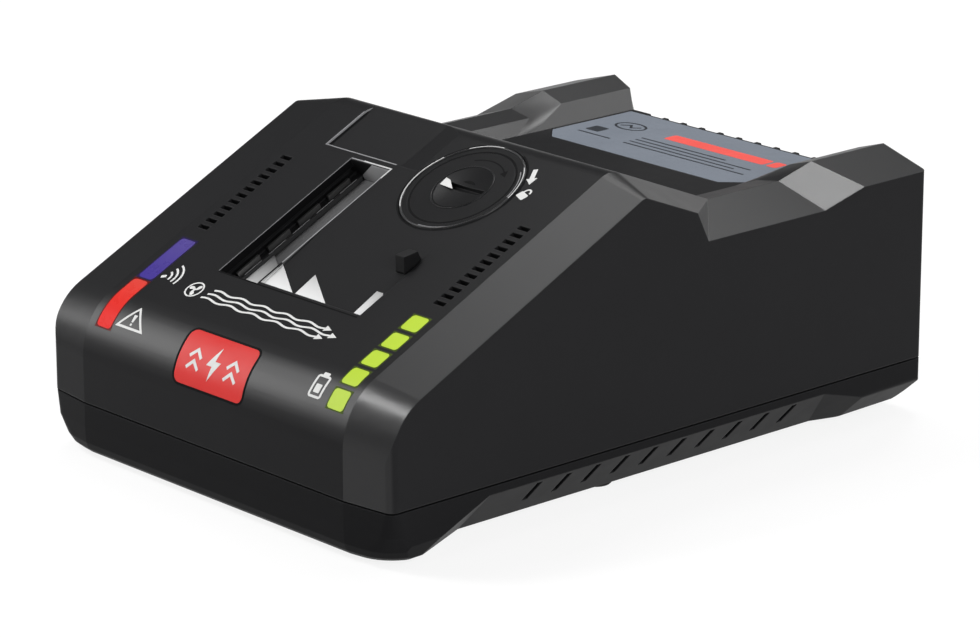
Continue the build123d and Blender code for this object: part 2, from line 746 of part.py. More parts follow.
def pillar_bores():
    """Blind screw holes up the pillars."""
    bores = [
        upright(x, y, UPPER_BASE - WALL, UPPER_BASE + SCREW_GRIP, SCREW_SHANK + FIT)
        for x, y in SCREW_SPOTS
    ]
    radius = BOARD_SCREW_RADIUS + FIT
    depth = BOARD_SCREW_LENGTH + RUNNING_GAP
    for x, t in DISPLAY_PILLARS:
        bores.append(post(DECK, x, t, -DISPLAY_DEPTH - WALL, -DISPLAY_DEPTH + depth, radius))
    for x in SWITCH_PILLARS:
        bores.append(post(BUTTON, x, 0, -SWITCH_DEPTH - WALL, -SWITCH_DEPTH + depth, radius))
    return bores


def fan_ribs():
    """Two ribs under the plateau that hold the fan down."""
    ribs = []
    for side in (-1, 1):
        x = side * (FAN_SIZE / 2 - FAN_HOLE_INSET)
        half = CRADLE_RIB / 2
        ribs.append(span_box(
            x - half, x + half, FAN_FRONT + half, FAN_REAR - half,
            FLOOR_TOP + FAN_SIZE, PLATEAU_HEIGHT,
        ))
    return ribs


def upper_housing():
    """Shell with nose, deck, battery bay, saddle and horns."""
    outer = upper_form(0, UPPER_BASE)
    shell = outer - upper_form(WALL, UPPER_BASE - WALL)
    bore = COVER_RADIUS + RUNNING_GAP
    inner = slot_pocket() + module_well(bore + WALL, 0, -WELL_DEPTH - WALL)
    inner += upper_pillars() + fan_ribs()
    shell += inner & outer
    shell -= [slot_space(), bay_step(), rail_recess()]
    shell -= deck_vents() + outlet_slots() + rear_grille() + pillar_bores()
    shell -= module_well(bore, WALL, -COVER_THICKNESS - RUNNING_GAP)
    shell -= module_well(WELL_RADIUS, WALL, -WELL_DEPTH)
    shell -= [light_window(-LIGHT_X, t0, t1, FIT, -1, 2 * WALL) for t0, t1 in left_spans()]
    shell -= [light_window(LIGHT_X, t0, t1, FIT, -1, 2 * WALL) for t0, t1 in segment_spans()]
    shell -= button_prism(RUNNING_GAP, -2 * WALL, 2 * WALL)
    shell -= Pos(0, 0, PLATEAU_HEIGHT - LABEL_THICKNESS) * extrude(label_outline(FIT), amount=WALL)
    shell -= [key_block(FIT), *plate_blocks(FIT), *contact_strips(FIT)]
    return shell - inlet_hole()


# ---------------------------------------------------------------- lower housing
def foot_section(inset, floor, top, foot):
    """Cross-section of the tray with its sides sloping in to the floor."""
    run, rise = foot
    edge = SHELL_BOTTOM + rise
    corners = [
        (-HALF + run, SHELL_BOTTOM), (HALF - run, SHELL_BOTTOM), (HALF, edge),
        (HALF, top), (-HALF, top), (-HALF, edge),
    ]
    depths = [floor - SHELL_BOTTOM, inset, inset, 0, inset, inset]
    rounds = [(i, SIDE_FOOT_ROUND) for i in (0, 1, 2, 5)]
    return outline(inset_corners(corners, depths), rounds)


def lower_form(inset, floor, top):
    """Tray below the seam: sloping sides, rounded front and rear, corners that swell downward."""
    front = Plane.XZ * foot_section(inset, floor, top, FRONT_FOOT)
    rear = Plane.XZ.offset(-LENGTH) * foot_section(inset, floor, top, REAR_FOOT)
    side = outline(
        [(inset, floor), (LENGTH - inset, floor), (LENGTH - inset, top), (inset, top)],
        [(0, FRONT_FOOT_ROUND - inset / 2), (1, REAR_FOOT_ROUND - inset / 2)],
    )
    levels = [
        Pos(0, 0, SHELL_BOTTOM + rise) * footprint(inset + step, radius)
        for rise, step, radius in TRAY_LEVELS
    ]
    levels.append(Pos(0, 0, LOWER_TOP + OVERLAP) * footprint(inset))
    corners = loft(levels, ruled=True)
    return loft([front, rear], ruled=True) & across(-HALF, HALF, side) & corners


def leg_face(points, end, direction):
    """Plane of a leg's slanted face, its normal toward the middle of the side."""
    a, b, c = (Vector(HALF - x, end + direction * y, z) for x, y, z in points)
    normal = (b - a).cross(c - a)
    return Plane(origin=a, x_dir=b - a, z_dir=normal if normal.Y * direction > 0 else -normal)


def side_facet():
    """Cut between the front and rear legs: a steep facet under each side wall."""
    slope = (FACET_TOP - FACET_BOTTOM) / FACET_RUN
    drop = FACET_BOTTOM + WALL
    wedge = lengthwise(outline([
        (HALF - FACET_RUN - drop / slope, -WALL),
        (HALF + WALL, -WALL),
        (HALF + WALL, FACET_TOP + WALL * slope),
    ]))
    wedge = split(wedge, leg_face(FRONT_LEG, 0, 1), keep=Keep.TOP)
    return mirrored(split(wedge, leg_face(REAR_LEG, LENGTH, -1), keep=Keep.TOP))


def side_vents():
    """Slots straight down the side facets."""
    cuts = []
    rise = FACET_TOP - FACET_BOTTOM
    slant = degrees(atan2(rise, FACET_RUN))
    length = sqrt(rise ** 2 + FACET_RUN ** 2)
    share = (SIDE_VENT_LENGTH / 2 + WALL / 2) / length
    for i in range(SIDE_VENTS):
        y = SIDE_VENT_FIRST + i * SIDE_VENT_PITCH
        place = Pos(HALF - FACET_RUN * share, y, FACET_TOP - rise * share) * Rot(0, -slant, 0)
        cuts.append(mirrored(place * Box(SIDE_VENT_LENGTH, SIDE_VENT_WIDTH, 4 * WALL)))
    return cuts


def floor_vents():
    """Two ladders of intake slits under the main board."""
    cuts = []
    middle = BOARD_FRONT + BOARD_LENGTH / 2
    for i in range(FLOOR_VENTS):
        y = middle + (i - (FLOOR_VENTS - 1) / 2) * FLOOR_VENT_PITCH
        slit = Box(FLOOR_VENT_LENGTH, FLOOR_VENT_WIDTH, 4 * FLOOR)
        cuts += [Pos(side * FLOOR_VENT_X, y, FLOOR_TOP) * slit for side in (-1, 1)]
    return cuts


def cord_saddle():
    """Two screw posts with a hollow between them, for the cord."""
    block = span_box(
        INLET_X - CLAMP_HALF, INLET_X + CLAMP_HALF, CLAMP_Y, CLAMP_Y + CLAMP_DEPTH,
        SHELL_BOTTOM + OVERLAP, CLAMP_SPLIT,
    )
    block -= along_y(INLET_X, SEAM_HEIGHT, CLAMP_Y - OVERLAP, CLAMP_Y + CLAMP_DEPTH + OVERLAP, INLET_BORE)
    radius = BOARD_SCREW_RADIUS + FIT
    for side in (-1, 1):
        x = INLET_X + side * CLAMP_SCREW_X
        block -= upright(x, CLAMP_Y + CLAMP_DEPTH / 2, FLOOR_TOP + OVERLAP, CLAMP_SPLIT + OVERLAP, radius)
    return block


def lower_housing():
    """Tray with legs, vents, board standoffs, fan cradle, cord saddle and screw pillars."""
    outer = lower_form(0, SHELL_BOTTOM, LOWER_TOP)
    room = lower_form(WALL, FLOOR_TOP, LOWER_TOP + OVERLAP)
    lean = outline([
        (-HALF, LOWER_TOP + OVERLAP), (-HALF, FACET_TOP + WALL), (-HALF + FACET_RUN + WALL, FLOOR_TOP),
        (HALF - FACET_RUN - WALL, FLOOR_TOP), (HALF, FACET_TOP + WALL), (HALF, LOWER_TOP + OVERLAP),
    ])
    tray = outer - (room & lengthwise(lean))
    rim = plan_block(WALL + FIT, LOWER_TOP - WALL, LOWER_TOP + TONGUE_HEIGHT)
    tray += rim - plan_block(WALL + FIT + TONGUE_WALL, LOWER_TOP - 2 * WALL, RIDGE_Z)
    tray += [upright(x, y, SHELL_BOTTOM, UPPER_BASE, BOSS_RADIUS) for x, y in SCREW_SPOTS]
    tray += [upright(x, y, SHELL_BOTTOM, BOARD_BOTTOM, STANDOFF) for x, y in BOARD_SPOTS]
    reach = FAN_SIZE / 2 + CRADLE_RIB
    rib_low = SHELL_BOTTOM + OVERLAP
    rib_top = FLOOR_TOP + CRADLE_HEIGHT
    for y in (FAN_FRONT - FIT - CRADLE_RIB, FAN_REAR + FIT):
        tray += span_box(-reach, reach, y, y + CRADLE_RIB, rib_low, rib_top)
    tray += cord_saddle()
    tray -= [side_facet(), *side_vents(), *floor_vents(), inlet_hole()]
    for x, y in SCREW_SPOTS:
        tray -= upright(x, y, 0, SCREW_SEAT, SCREW_HEAD + RUNNING_GAP)
        tray -= upright(x, y, 0, UPPER_BASE + WALL, SCREW_SHANK + FIT)
    bore = BOARD_SCREW_RADIUS + FIT
    tray -= [upright(x, y, FLOOR_TOP, BOARD_BOTTOM + OVERLAP, bore) for x, y in BOARD_SPOTS]
    seat = SHELL_BOTTOM + FOOT_SEAT
    return tray - [upright(x, y, 0, seat, FOOT_RADIUS + FIT) for x, y in FOOT_SPOTS]


# ---------------------------------------------------------------- lights and displays
def light_leg(x, t):
    """Post that leads the light up from its lamp on the display board."""
    half = LIGHT_LEG / 2
    foot = -DISPLAY_DEPTH + LED_HEIGHT + FIT
    return deck_box(x - half, x + half, t - half, t + half, foot, -WALL - FIT)


def fault_leg_station():
    """Where the fault light's leg stands, at the deck end of its lens."""
    return left_spans()[0][1] - LIGHT_LEG


def charge_leg_stations():
    """Where the legs of the charge-level lights stand."""
    first = DISPLAY_START + LIGHT_LEG
    step = (DISPLAY_LENGTH - 2 * LIGHT_LEG) / (SEGMENTS - 1)
    return [first + i * step for i in range(SEGMENTS)]


def lens_with_flange(t0, t1, low, high, leg):
    """Left lens with a flange under the shell that stops between stations low and high."""
    inner = WALL + FIT
    lens = light_window(-LIGHT_X, t0, t1, 0, 0, inner + LIGHT_FLANGE / 2)
    half = LIGHT_WIDTH / 2 + LIGHT_FLANGE
    flange = skin_strip(-LIGHT_X - half, -LIGHT_X + half, low, high, inner, inner + LIGHT_FLANGE)
    return lens + flange + light_leg(-LIGHT_X, leg)


def fault_light_pipe():
    """Lower lens of the left light bar, for faults."""
    t0, t1 = left_spans()[0]
    return lens_with_flange(t0, t1, t0 - LIGHT_FLANGE, t1 + FIT, fault_leg_station())


def connection_light_pipe():
    """Upper lens of the left light bar, for the wireless connection."""
    t0, t1 = left_spans()[1]
    return lens_with_flange(t0, t1, t0 - FIT, t1 + LIGHT_FLANGE, (t0 + t1) / 2)


def charge_light_pipe():
    """Five lenses of the charge level on one strip."""
    inner = WALL + FIT
    half = LIGHT_WIDTH / 2 + LIGHT_FLANGE
    low = LIGHT_START - LIGHT_FLANGE
    high = LIGHT_START + LIGHT_LENGTH + LIGHT_FLANGE
    strip = skin_strip(LIGHT_X - half, LIGHT_X + half, low, high, inner, inner + LIGHT_FLANGE)
    for t0, t1 in segment_spans():
        strip += light_window(LIGHT_X, t0, t1, 0, 0, inner + LIGHT_FLANGE / 2)
    for t in charge_leg_stations():
        strip += light_leg(LIGHT_X, t)
    return strip


def light_chips():
    """Lamps on the display board, one under each light leg."""
    spots = [(LIGHT_X, t) for t in charge_leg_stations()]
    spots += [(-LIGHT_X, fault_leg_station()), (-LIGHT_X, sum(left_spans()[1]) / 2)]
    half = LED_SIZE / 2
    low = -DISPLAY_DEPTH
    return [deck_box(x - half, x + half, t - half, t + half, low, low + LED_HEIGHT) for x, t in spots]


def display_board():
    """Board square under the deck that carries the lamps."""
    board = deck_box(
        -DISPLAY_HALF, DISPLAY_HALF, DISPLAY_START, DISPLAY_START + DISPLAY_LENGTH,
        -DISPLAY_DEPTH - BOARD, -DISPLAY_DEPTH,
    )
    radius = BOARD_SCREW_RADIUS + FIT
    low = -DISPLAY_DEPTH - 2 * BOARD
    return board - [post(DECK, x, t, low, 0, radius) for x, t in DISPLAY_PILLARS]


# ---------------------------------------------------------------- fast-charge button
def fast_charge_button():
    """Push button that follows the curve of the nose, with its lip and stem."""
    reach = NOSE_RADIUS / 2
    cap = button_prism(0, -reach, reach) & nose_layer(0, BUTTON_THICKNESS)
    lip = button_prism(BUTTON_LIP, -reach, reach) & nose_layer(LIP_TOP, LIP_TOP + BUTTON_FLANGE)
    stem_end = SWITCH_TOP - BUTTON_TRAVEL - RUNNING_GAP / 2
    return cap + lip + post(BUTTON, 0, 0, -stem_end, -LIP_TOP, BUTTON_STEM)


def switch_board():
    """Small board behind the button."""
    half = SWITCH_PILLARS[1] + BOARD_SCREW_INSET
    depth = SWITCH_BOARD_DEPTH / 2
    board = BUTTON * span_box(-half, half, -depth, depth, -SWITCH_DEPTH - BOARD, -SWITCH_DEPTH)
    radius = BOARD_SCREW_RADIUS + FIT
    return board - [post(BUTTON, x, 0, -SWITCH_DEPTH - 2 * BOARD, 0, radius) for x in SWITCH_PILLARS]


def tact_switch():
    """Snap switch under the button's stem."""
    half = SWITCH_BODY / 2
    body = span_box(-half, half, -half, half, -SWITCH_DEPTH, -SWITCH_TOP - SWITCH_STEP)
    plunger = Pos(0, 0, -SWITCH_TOP - SWITCH_HEIGHT / 2) * Cylinder(SWITCH_PLUNGER, SWITCH_HEIGHT)
    return BUTTON * (body + plunger)


# ---------------------------------------------------------------- module under its cover
def module_cover():
    """Round cover with a coin slot, a shallow dish, a ring groove and a sealed skirt."""
    skirt_radius = WELL_RADIUS - RUNNING_GAP
    skirt_end = -COVER_THICKNESS - COVER_SKIRT
    cover = module_well(COVER_RADIUS, 0, -COVER_THICKNESS)
    cover += module_well(skirt_radius, -COVER_THICKNESS, skirt_end)
    cover -= module_well(skirt_radius - 2 * SEAL_WIDTH, -COVER_THICKNESS, skirt_end)
    ring = module_well(COVER_RING, WALL, -COVER_RING_WIDTH)
    ring -= module_well(COVER_RING - COVER_RING_WIDTH, WALL, -COVER_RING_WIDTH)
    dish_radius = (COVER_DISH ** 2 + COVER_DISH_DEPTH ** 2) / (2 * COVER_DISH_DEPTH)
    dish = COVER * Pos(0, 0, dish_radius - COVER_DISH_DEPTH) * Sphere(dish_radius)
    slot = COVER * Box(COIN_SLOT_LENGTH, COIN_SLOT_WIDTH, 2 * COIN_SLOT_DEPTH)
    groove_top = -COVER_THICKNESS - SEAL_HEIGHT
    groove = module_well(COVER_RADIUS, groove_top, groove_top - SEAL_HEIGHT)
    groove -= module_well(skirt_radius - SEAL_WIDTH, groove_top, groove_top - SEAL_HEIGHT)
    return cover - ring - dish - slot - groove


def cover_seal():
    """Rubber ring in the skirt's groove."""
    outer = WELL_RADIUS - SHAFT_GAP
    top = -COVER_THICKNESS - SEAL_HEIGHT
    inner = WELL_RADIUS - RUNNING_GAP - SEAL_WIDTH
    return module_well(outer, top, top - SEAL_HEIGHT) - module_well(inner, top, top - SEAL_HEIGHT)


def radio_module():
    """Plug-in puck at the bottom of the well."""
    puck = module_well(MODULE_RADIUS, -WELL_DEPTH + MODULE_HEIGHT, -WELL_DEPTH)
    place = COVER * Pos(0, MODULE_RADIUS, -WELL_DEPTH + MODULE_HEIGHT)
    return puck - place * Box(MODULE_NOTCH, MODULE_NOTCH, MODULE_HEIGHT)


def coin_cell():
    """Button cell that lies on the module."""
    base = -WELL_DEPTH + MODULE_HEIGHT
    rim = module_well(CELL_RADIUS, base + CELL_HEIGHT - CELL_STEP, base)
    return rim + module_well(CELL_RADIUS - 2 * CELL_STEP, base + CELL_HEIGHT, base)


# ---------------------------------------------------------------- battery bay pieces
def key_block(margin):
    """Coding key with its flange under the deck, margin larger on every side."""
    start = KEY_START - margin
    tail = KEY_START + KEY_LENGTH + margin
    foot = -WALL - FIT
    side = outline([
        (start, foot), (tail, foot), (tail, KEY_TAIL), (start + KEY_LEAN, KEY_HEIGHT), (start, 0),
    ])
    return DECK * across(KEY_X - margin, KEY_X + KEY_WIDTH + margin, side)


def coding_key():
    """Fixed wedge that lets only the right battery slide home."""
    flange = deck_box(
        KEY_X - KEY_FLANGE, KEY_X + KEY_WIDTH + KEY_FLANGE,
        KEY_START - KEY_FLANGE, KEY_START + KEY_LENGTH + KEY_FLANGE,
        -WALL - KEY_FLANGE, -WALL,
    )
    return key_block(0) + flange


def plate_outlines(margin):
    """Outlines of the lead-in plates in front of the bay: gussets and a bar."""
    low = BAY_START + 2 * FIT
    shapes = []
    for i in range(PLATES):
        x = PLATE_FIRST + i * PLATE_PITCH
        shapes.append([(x, low), (x + PLATE_RUN, low), (x, low + PLATE_LENGTH)])
    right = BAY_RIGHT - 2 * FIT
    high = BAY_START + BAR_LENGTH
    shapes.append([
        (right - BAR_WIDTH, low), (right, low), (right, high - BAR_CUT),
        (right - BAR_CUT, high), (right - BAR_WIDTH, high),
    ])
    return [outline(inset_corners(corners, [-margin] * len(corners))) for corners in shapes]


def plate_blocks(margin):
    """The plates as solids between their pockets' floor and just above the bay's floor."""
    fall = BAY_STEP / BAY_RUN
    top = -BAY_STEP + PLATE_PROUD
    bottom = -BAY_STEP - PLATE_SINK
    end = BAR_LENGTH + OVERLAP
    layer = DECK * across(-HALF, HALF, outline([
        (BAY_START, bottom), (BAY_START + end, bottom),
        (BAY_START + end, top + fall * end), (BAY_START, top),
    ]))
    low = DECK * Pos(0, 0, -WALL)
    return [(low * extrude(face, amount=WALL)) & layer for face in plate_outlines(margin)]


def lead_in_plates():
    """Pale plates that lead the battery in: three on the bay's floor, one in the slot."""
    left = SLOT_LEFT + CARRIER_WIDTH + 2 * FIT
    right = SLOT_RIGHT - FIT
    low = SLOT_START + FIT
    slot_plate = outline([
        (left, low), (right, low), (right, BAY_START + SLOT_PLATE_SHORT),
        (left, BAY_START + SLOT_PLATE_LONG),
    ])
    floor = DECK * Pos(0, 0, -SLOT_DEPTH) * extrude(slot_plate, amount=PLATE_THICKNESS)
    return [floor, *plate_blocks(0)]


def contact_strips(margin):
    """Contact blades along the slot's left wall, through its floor."""
    x = SLOT_LEFT + CARRIER_WIDTH / 2
    half = CONTACT_BLADE / 2 + margin
    low = -SLOT_DEPTH - WALL - CONTACT_TAIL
    strips = []
    for i in range(CONTACTS):
        t = SLOT_START + CONTACT_FIRST + i * CONTACT_PITCH
        strips.append(deck_box(
            x - half, x + half, t - margin, t + CONTACT_LENGTH + margin,
            low, -SLOT_DEPTH + CONTACT_HEIGHT,
        ))
    return strips


def contact_blades():
    """The four blades that meet the battery."""
    return contact_strips(0)


def contact_carrier():
    """Insulating bar that holds the contact blades."""
    bar = deck_box(
        SLOT_LEFT + FIT, SLOT_LEFT + CARRIER_WIDTH, SLOT_START + FIT, SLOT_END - FIT,
        -SLOT_DEPTH, -SLOT_DEPTH + CARRIER_HEIGHT,
    )
    return bar - contact_strips(FIT)


def label_plate():
    """Bare plate let into the plateau between the horns."""
    return Pos(0, 0, PLATEAU_HEIGHT - LABEL_THICKNESS) * extrude(label_outline(), amount=LABEL_THICKNESS)


# ---------------------------------------------------------------- main board
def main_board():
    """Power board on the standoffs of the lower housing."""
    board = span_box(-BOARD_HALF, BOARD_HALF, BOARD_FRONT, BOARD_REAR, BOARD_BOTTOM, BOARD_TOP)
    radius = BOARD_SCREW_RADIUS + FIT
    return board - [upright(x, y, FLOOR_TOP, BOARD_TOP + OVERLAP, radius) for x, y in BOARD_SPOTS]


def on_board(across_share, share, height, shape):
    """Put a shape on the main board, at shares of its half width and its length."""
    x = across_share * BOARD_HALF
    return Pos(x, BOARD_FRONT + share * BOARD_LENGTH, BOARD_TOP + height) * shape


def box_component(spot, size):
    """Boxed component with rounded upright edges, standing on the board."""
    box = fillet(Box(*size).edges().filter_by(Axis.Z), COMPONENT_EDGE)
    return on_board(*spot, size[2] / 2, box)


def transformer_core():
    """Ferrite frame round the winding."""
    window = Box(CORE_WIDTH - 2 * CORE_LIMB, 2 * CORE_DEPTH, CORE_HEIGHT - 2 * CORE_LIMB)
    frame = Box(CORE_WIDTH, CORE_DEPTH, CORE_HEIGHT) - window
    return on_board(*CORE_SPOT, CORE_HEIGHT / 2, frame)


def transformer_winding():
    """Taped winding inside the ferrite frame."""
    height = CORE_HEIGHT - 2 * CORE_LIMB - 2 * FIT
    width = CORE_WIDTH - 2 * CORE_LIMB - 2 * FIT
    winding = Cylinder(WINDING_RADIUS, height) & Box(width, 2 * WINDING_RADIUS, height)
    return on_board(*CORE_SPOT, CORE_HEIGHT / 2, winding)


def bulk_capacitors():
    """Two large capacitors near the front of the board."""
    can = Cylinder(BULK_RADIUS, BULK_HEIGHT)
    return [on_board(*spot, BULK_HEIGHT / 2, can) for spot in BULK_SPOTS]


def output_capacitors():
    """Row of small capacitors beside them."""
    can = Cylinder(OUTPUT_RADIUS, OUTPUT_HEIGHT)
    pitch = 2 * OUTPUT_RADIUS + OUTPUT_GAP
    first = on_board(*OUTPUT_SPOT, OUTPUT_HEIGHT / 2, can)
    return [Pos(i * pitch, 0, 0) * first for i in range(OUTPUT_COUNT)]


def heat_sink():
    """Comb of upright fins on a back plate."""
    comb = Pos((SINK_BASE - SINK_DEPTH) / 2, 0, 0) * Box(SINK_BASE, SINK_LENGTH, SINK_HEIGHT)
    pitch = (SINK_LENGTH - SINK_FIN) / (SINK_FINS - 1)
    for i in range(SINK_FINS):
        fin = Box(SINK_DEPTH, SINK_FIN, SINK_HEIGHT)
        comb += Pos(0, (i - (SINK_FINS - 1) / 2) * pitch, 0) * fin
    return on_board(*SINK_SPOT, SINK_HEIGHT / 2, comb)


def power_transistors():
    """Transistors clamped to the heat sink's back plate."""
    x, y, z = TRANSISTOR_SIZE
    legs_depth, legs_width = TRANSISTOR_LEGS
    body = Pos(0, 0, TRANSISTOR_RISE + z / 2) * Box(x, y, z)
    legs_height = TRANSISTOR_RISE + COMPONENT_EDGE
    body += Pos(0, 0, legs_height / 2) * Box(legs_depth, legs_width, legs_height)
    reach = SINK_DEPTH / 2 + x / 2 + SHAFT_GAP
    rows = [(i - (TRANSISTORS - 1) / 2) * TRANSISTOR_PITCH for i in range(TRANSISTORS)]
    return [Pos(-reach, row, 0) * on_board(*SINK_SPOT, 0, body) for row in rows]


def line_choke():
    """Wound ring core standing on its foot."""
    ring = Cylinder(CHOKE_RADIUS, CHOKE_DEPTH) - Cylinder(CHOKE_HOLE, CHOKE_DEPTH)
    ring = chamfer(ring.edges().filter_by(GeomType.CIRCLE), CHOKE_DEPTH / 4)
    foot = CHOKE_FOOT[2]
    base = Pos(0, 0, foot / 2 - CHOKE_RADIUS - COMPONENT_EDGE) * Box(*CHOKE_FOOT)
    return on_board(*CHOKE_SPOT, CHOKE_RADIUS + COMPONENT_EDGE, Rot(0, 90, 0) * ring + base)


def film_capacitor():
    """Boxed capacitor across the line."""
    return box_component(FILM_SPOT, FILM_SIZE)


def power_relay():
    """Relay that switches the output."""
    return box_component(RELAY_SPOT, RELAY_SIZE)


def fuse_cap_places():
    """Distances of the fuse's two caps from its middle."""
    return [side * (FUSE_LENGTH - FUSE_CAP) / 2 for side in (-1, 1)]


def fuse():
    """Glass fuse with its end caps, held in two clips."""
    tube = Rot(90, 0, 0) * Cylinder(FUSE_RADIUS - FUSE_CAP_STEP, FUSE_LENGTH)
    for y in fuse_cap_places():
        tube += Pos(0, y, 0) * Rot(90, 0, 0) * Cylinder(FUSE_RADIUS, FUSE_CAP)
    return on_board(*FUSE_SPOT, FUSE_RADIUS + FUSE_LIFT, tube)


def fuse_clips():
    """Two spring clips under the fuse."""
    clip = Pos(0, 0, CLIP_SHEET / 2) * Box(CLIP_BASE, CLIP_WIDTH, CLIP_SHEET)
    cheek = FUSE_RADIUS + FIT + CLIP_SHEET / 2
    for side in (-1, 1):
        clip += Pos(side * cheek, 0, CLIP_HEIGHT / 2) * Box(CLIP_SHEET, CLIP_WIDTH, CLIP_HEIGHT)
    return [Pos(0, y, 0) * on_board(*FUSE_SPOT, 0, clip) for y in fuse_cap_places()]


def board_connector():
    """Plug for the cable to the display board and the contacts."""
    x, y, z = PLUG_SIZE
    room = Pos(0, 0, PLUG_WALL) * Box(x - 2 * PLUG_WALL, y - 2 * PLUG_WALL, z)
    return on_board(*PLUG_SPOT, z / 2, Box(*PLUG_SIZE) - room)


def mains_terminal():
    """Terminal block where the cord's wires end."""
    x, y, z = TERMINAL_SIZE
    block = Box(x, y, z)
    for side in (-1, 1):
        place = Pos(side * TERMINAL_PITCH / 2, 0, 0)
        block -= place * Pos(0, y / 2, 0) * Box(TERMINAL_MOUTH, y, TERMINAL_MOUTH)
        block -= place * Pos(0, 0, z / 2) * Cylinder(TERMINAL_SCREW, TERMINAL_MOUTH)
    return on_board(*TERMINAL_SPOT, z / 2, block)


# ---------------------------------------------------------------- fan
def fan_place(shape):
    """Put a shape drawn round the Z axis on the fan's axis, its Z pointing to the front."""
    return Pos(0, FAN_REAR, FAN_Z) * Rot(90, 0, 0) * shape


def fan_frame():
    """Square frame with a round duct, spokes and the bearing tube."""
    duct = Cylinder(FAN_BORE, 2 * FAN_DEPTH)
    frame = Pos(0, 0, FAN_DEPTH / 2) * Box(FAN_SIZE, FAN_SIZE, FAN_DEPTH) - duct
    spokes = Pos(0, 0, FAN_PLATE / 2) * Cylinder(FAN_HUB, FAN_PLATE)
    reach = FAN_BORE - FAN_HUB + 2 * FAN_PLATE
    arm = Pos((FAN_BORE + FAN_HUB) / 2, 0, FAN_PLATE / 2) * Box(reach, FAN_SPOKE_WIDTH, FAN_PLATE)
    for i in range(FAN_SPOKES):
        spokes += Rot(0, 0, (i + 0.5) * 360 / FAN_SPOKES) * arm
    tube_end = FAN_DEPTH - FAN_CUP - FAN_PLATE
    frame += spokes + Pos(0, 0, tube_end / 2) * Cylinder(FAN_BEARING, tube_end)
    frame -= Cylinder(FAN_SHAFT + SHAFT_GAP, 2 * FAN_DEPTH)
    spot = FAN_SIZE / 2 - FAN_HOLE_INSET
    for sx in (-1, 1):
        for sy in (-1, 1):
            frame -= Pos(sx * spot, sy * spot, 0) * Cylinder(FAN_HOLE, 3 * FAN_DEPTH)
    return fan_place(frame)


def fan_blade():
    """One twisted blade, from inside the hub's wall to past the tip."""
    tip = FAN_BORE - FAN_TIP_GAP + FAN_BLADE_THICKNESS
    root = FAN_HUB - FAN_CUP / 2
    ends = ((root, FAN_ROOT_PITCH, FAN_ROOT_CHORD), (tip, FAN_TIP_PITCH, FAN_TIP_CHORD))
    sections = []
    for radius, pitch, chord in ends:
        face = Rectangle(chord, FAN_BLADE_THICKNESS)
        sections.append(Plane.YZ.offset(radius) * Rot(0, 0, pitch) * face)
    return loft(sections, ruled=True)


def fan_impeller():
    """Hub cup with its shaft and seven blades."""
    base = FAN_PLATE + 2 * RUNNING_GAP
    top = FAN_DEPTH - 2 * RUNNING_GAP
    height = top - base
    middle = (base + top) / 2
    cup = Pos(0, 0, middle) * Cylinder(FAN_HUB, height)
    cup -= Pos(0, 0, middle - FAN_CUP) * Cylinder(FAN_HUB - FAN_CUP, height)
    blade = Pos(0, 0, middle) * fan_blade()
    for i in range(FAN_BLADES):
        cup += Rot(0, 0, i * 360 / FAN_BLADES) * blade
    cup &= Pos(0, 0, middle) * Cylinder(FAN_BORE - FAN_TIP_GAP, height)
    shaft = top - FAN_PLATE / 2
    cup += Pos(0, 0, top - shaft / 2) * Cylinder(FAN_SHAFT, shaft)
    return fan_place(cup)


# ---------------------------------------------------------------- inlet, screws and feet
def cord_inlet():
    """Rubber sleeve gripped between the housings, bored for the cord."""
    front = LENGTH - INLET_DEPTH
    waist = along_y(INLET_X, SEAM_HEIGHT, front, LENGTH, INLET_WAIST)
    lip = along_y(INLET_X, SEAM_HEIGHT, LENGTH - INLET_LIP, LENGTH, INLET_OUTER)
    inner = along_y(INLET_X, SEAM_HEIGHT, INLET_GRIP - FIT - INLET_LIP, INLET_GRIP - FIT, INLET_OUTER)
    bore = along_y(INLET_X, SEAM_HEIGHT, front - OVERLAP, LENGTH + OVERLAP, INLET_BORE)
    return waist + lip + inner - bore


def cord_clamp():
    """Bar screwed over the cord behind the inlet."""
    bar = span_box(
        INLET_X - CLAMP_HALF, INLET_X + CLAMP_HALF, CLAMP_Y, CLAMP_Y + CLAMP_DEPTH,
        CLAMP_SPLIT, SEAM_HEIGHT + INLET_BORE + CLAMP_BAR,
    )
    bar -= along_y(INLET_X, SEAM_HEIGHT, CLAMP_Y - OVERLAP, CLAMP_Y + CLAMP_DEPTH + OVERLAP, INLET_BORE)
    for x, y in clamp_screw_spots():
        bar -= upright(x, y, CLAMP_SPLIT - OVERLAP, RIDGE_Z, BOARD_SCREW_RADIUS + FIT)
    return bar


def clamp_screw_spots():
    """Places of the two clamp screws."""
    y = CLAMP_Y + CLAMP_DEPTH / 2
    return [(INLET_X + side * CLAMP_SCREW_X, y) for side in (-1, 1)]


def pan_screw(seat, length, shank, head, height):
    """Pan-head screw standing on its tip: the head's underside lies at seat."""
    screw = Pos(0, 0, seat - length / 2) * Cylinder(shank, length)
    top = Pos(0, 0, seat + height / 2) * Cylinder(head, height)
    top = chamfer(top.edges().sort_by(Axis.Z)[-1], height * SCREW_CHAMFER)
    return screw + top - Pos(0, 0, seat + height) * Box(head, height * SCREW_CHAMFER, height)


def cord_clamp_screws():
    """Two screws through the clamp bar."""
    seat = SEAM_HEIGHT + INLET_BORE + CLAMP_BAR
    length = seat - FLOOR_TOP - FLOOR
    screw = pan_screw(seat, length, BOARD_SCREW_RADIUS, BOARD_SCREW_HEAD, BOARD_SCREW_HEIGHT)
    return [Pos(x, y, 0) * screw for x, y in clamp_screw_spots()]


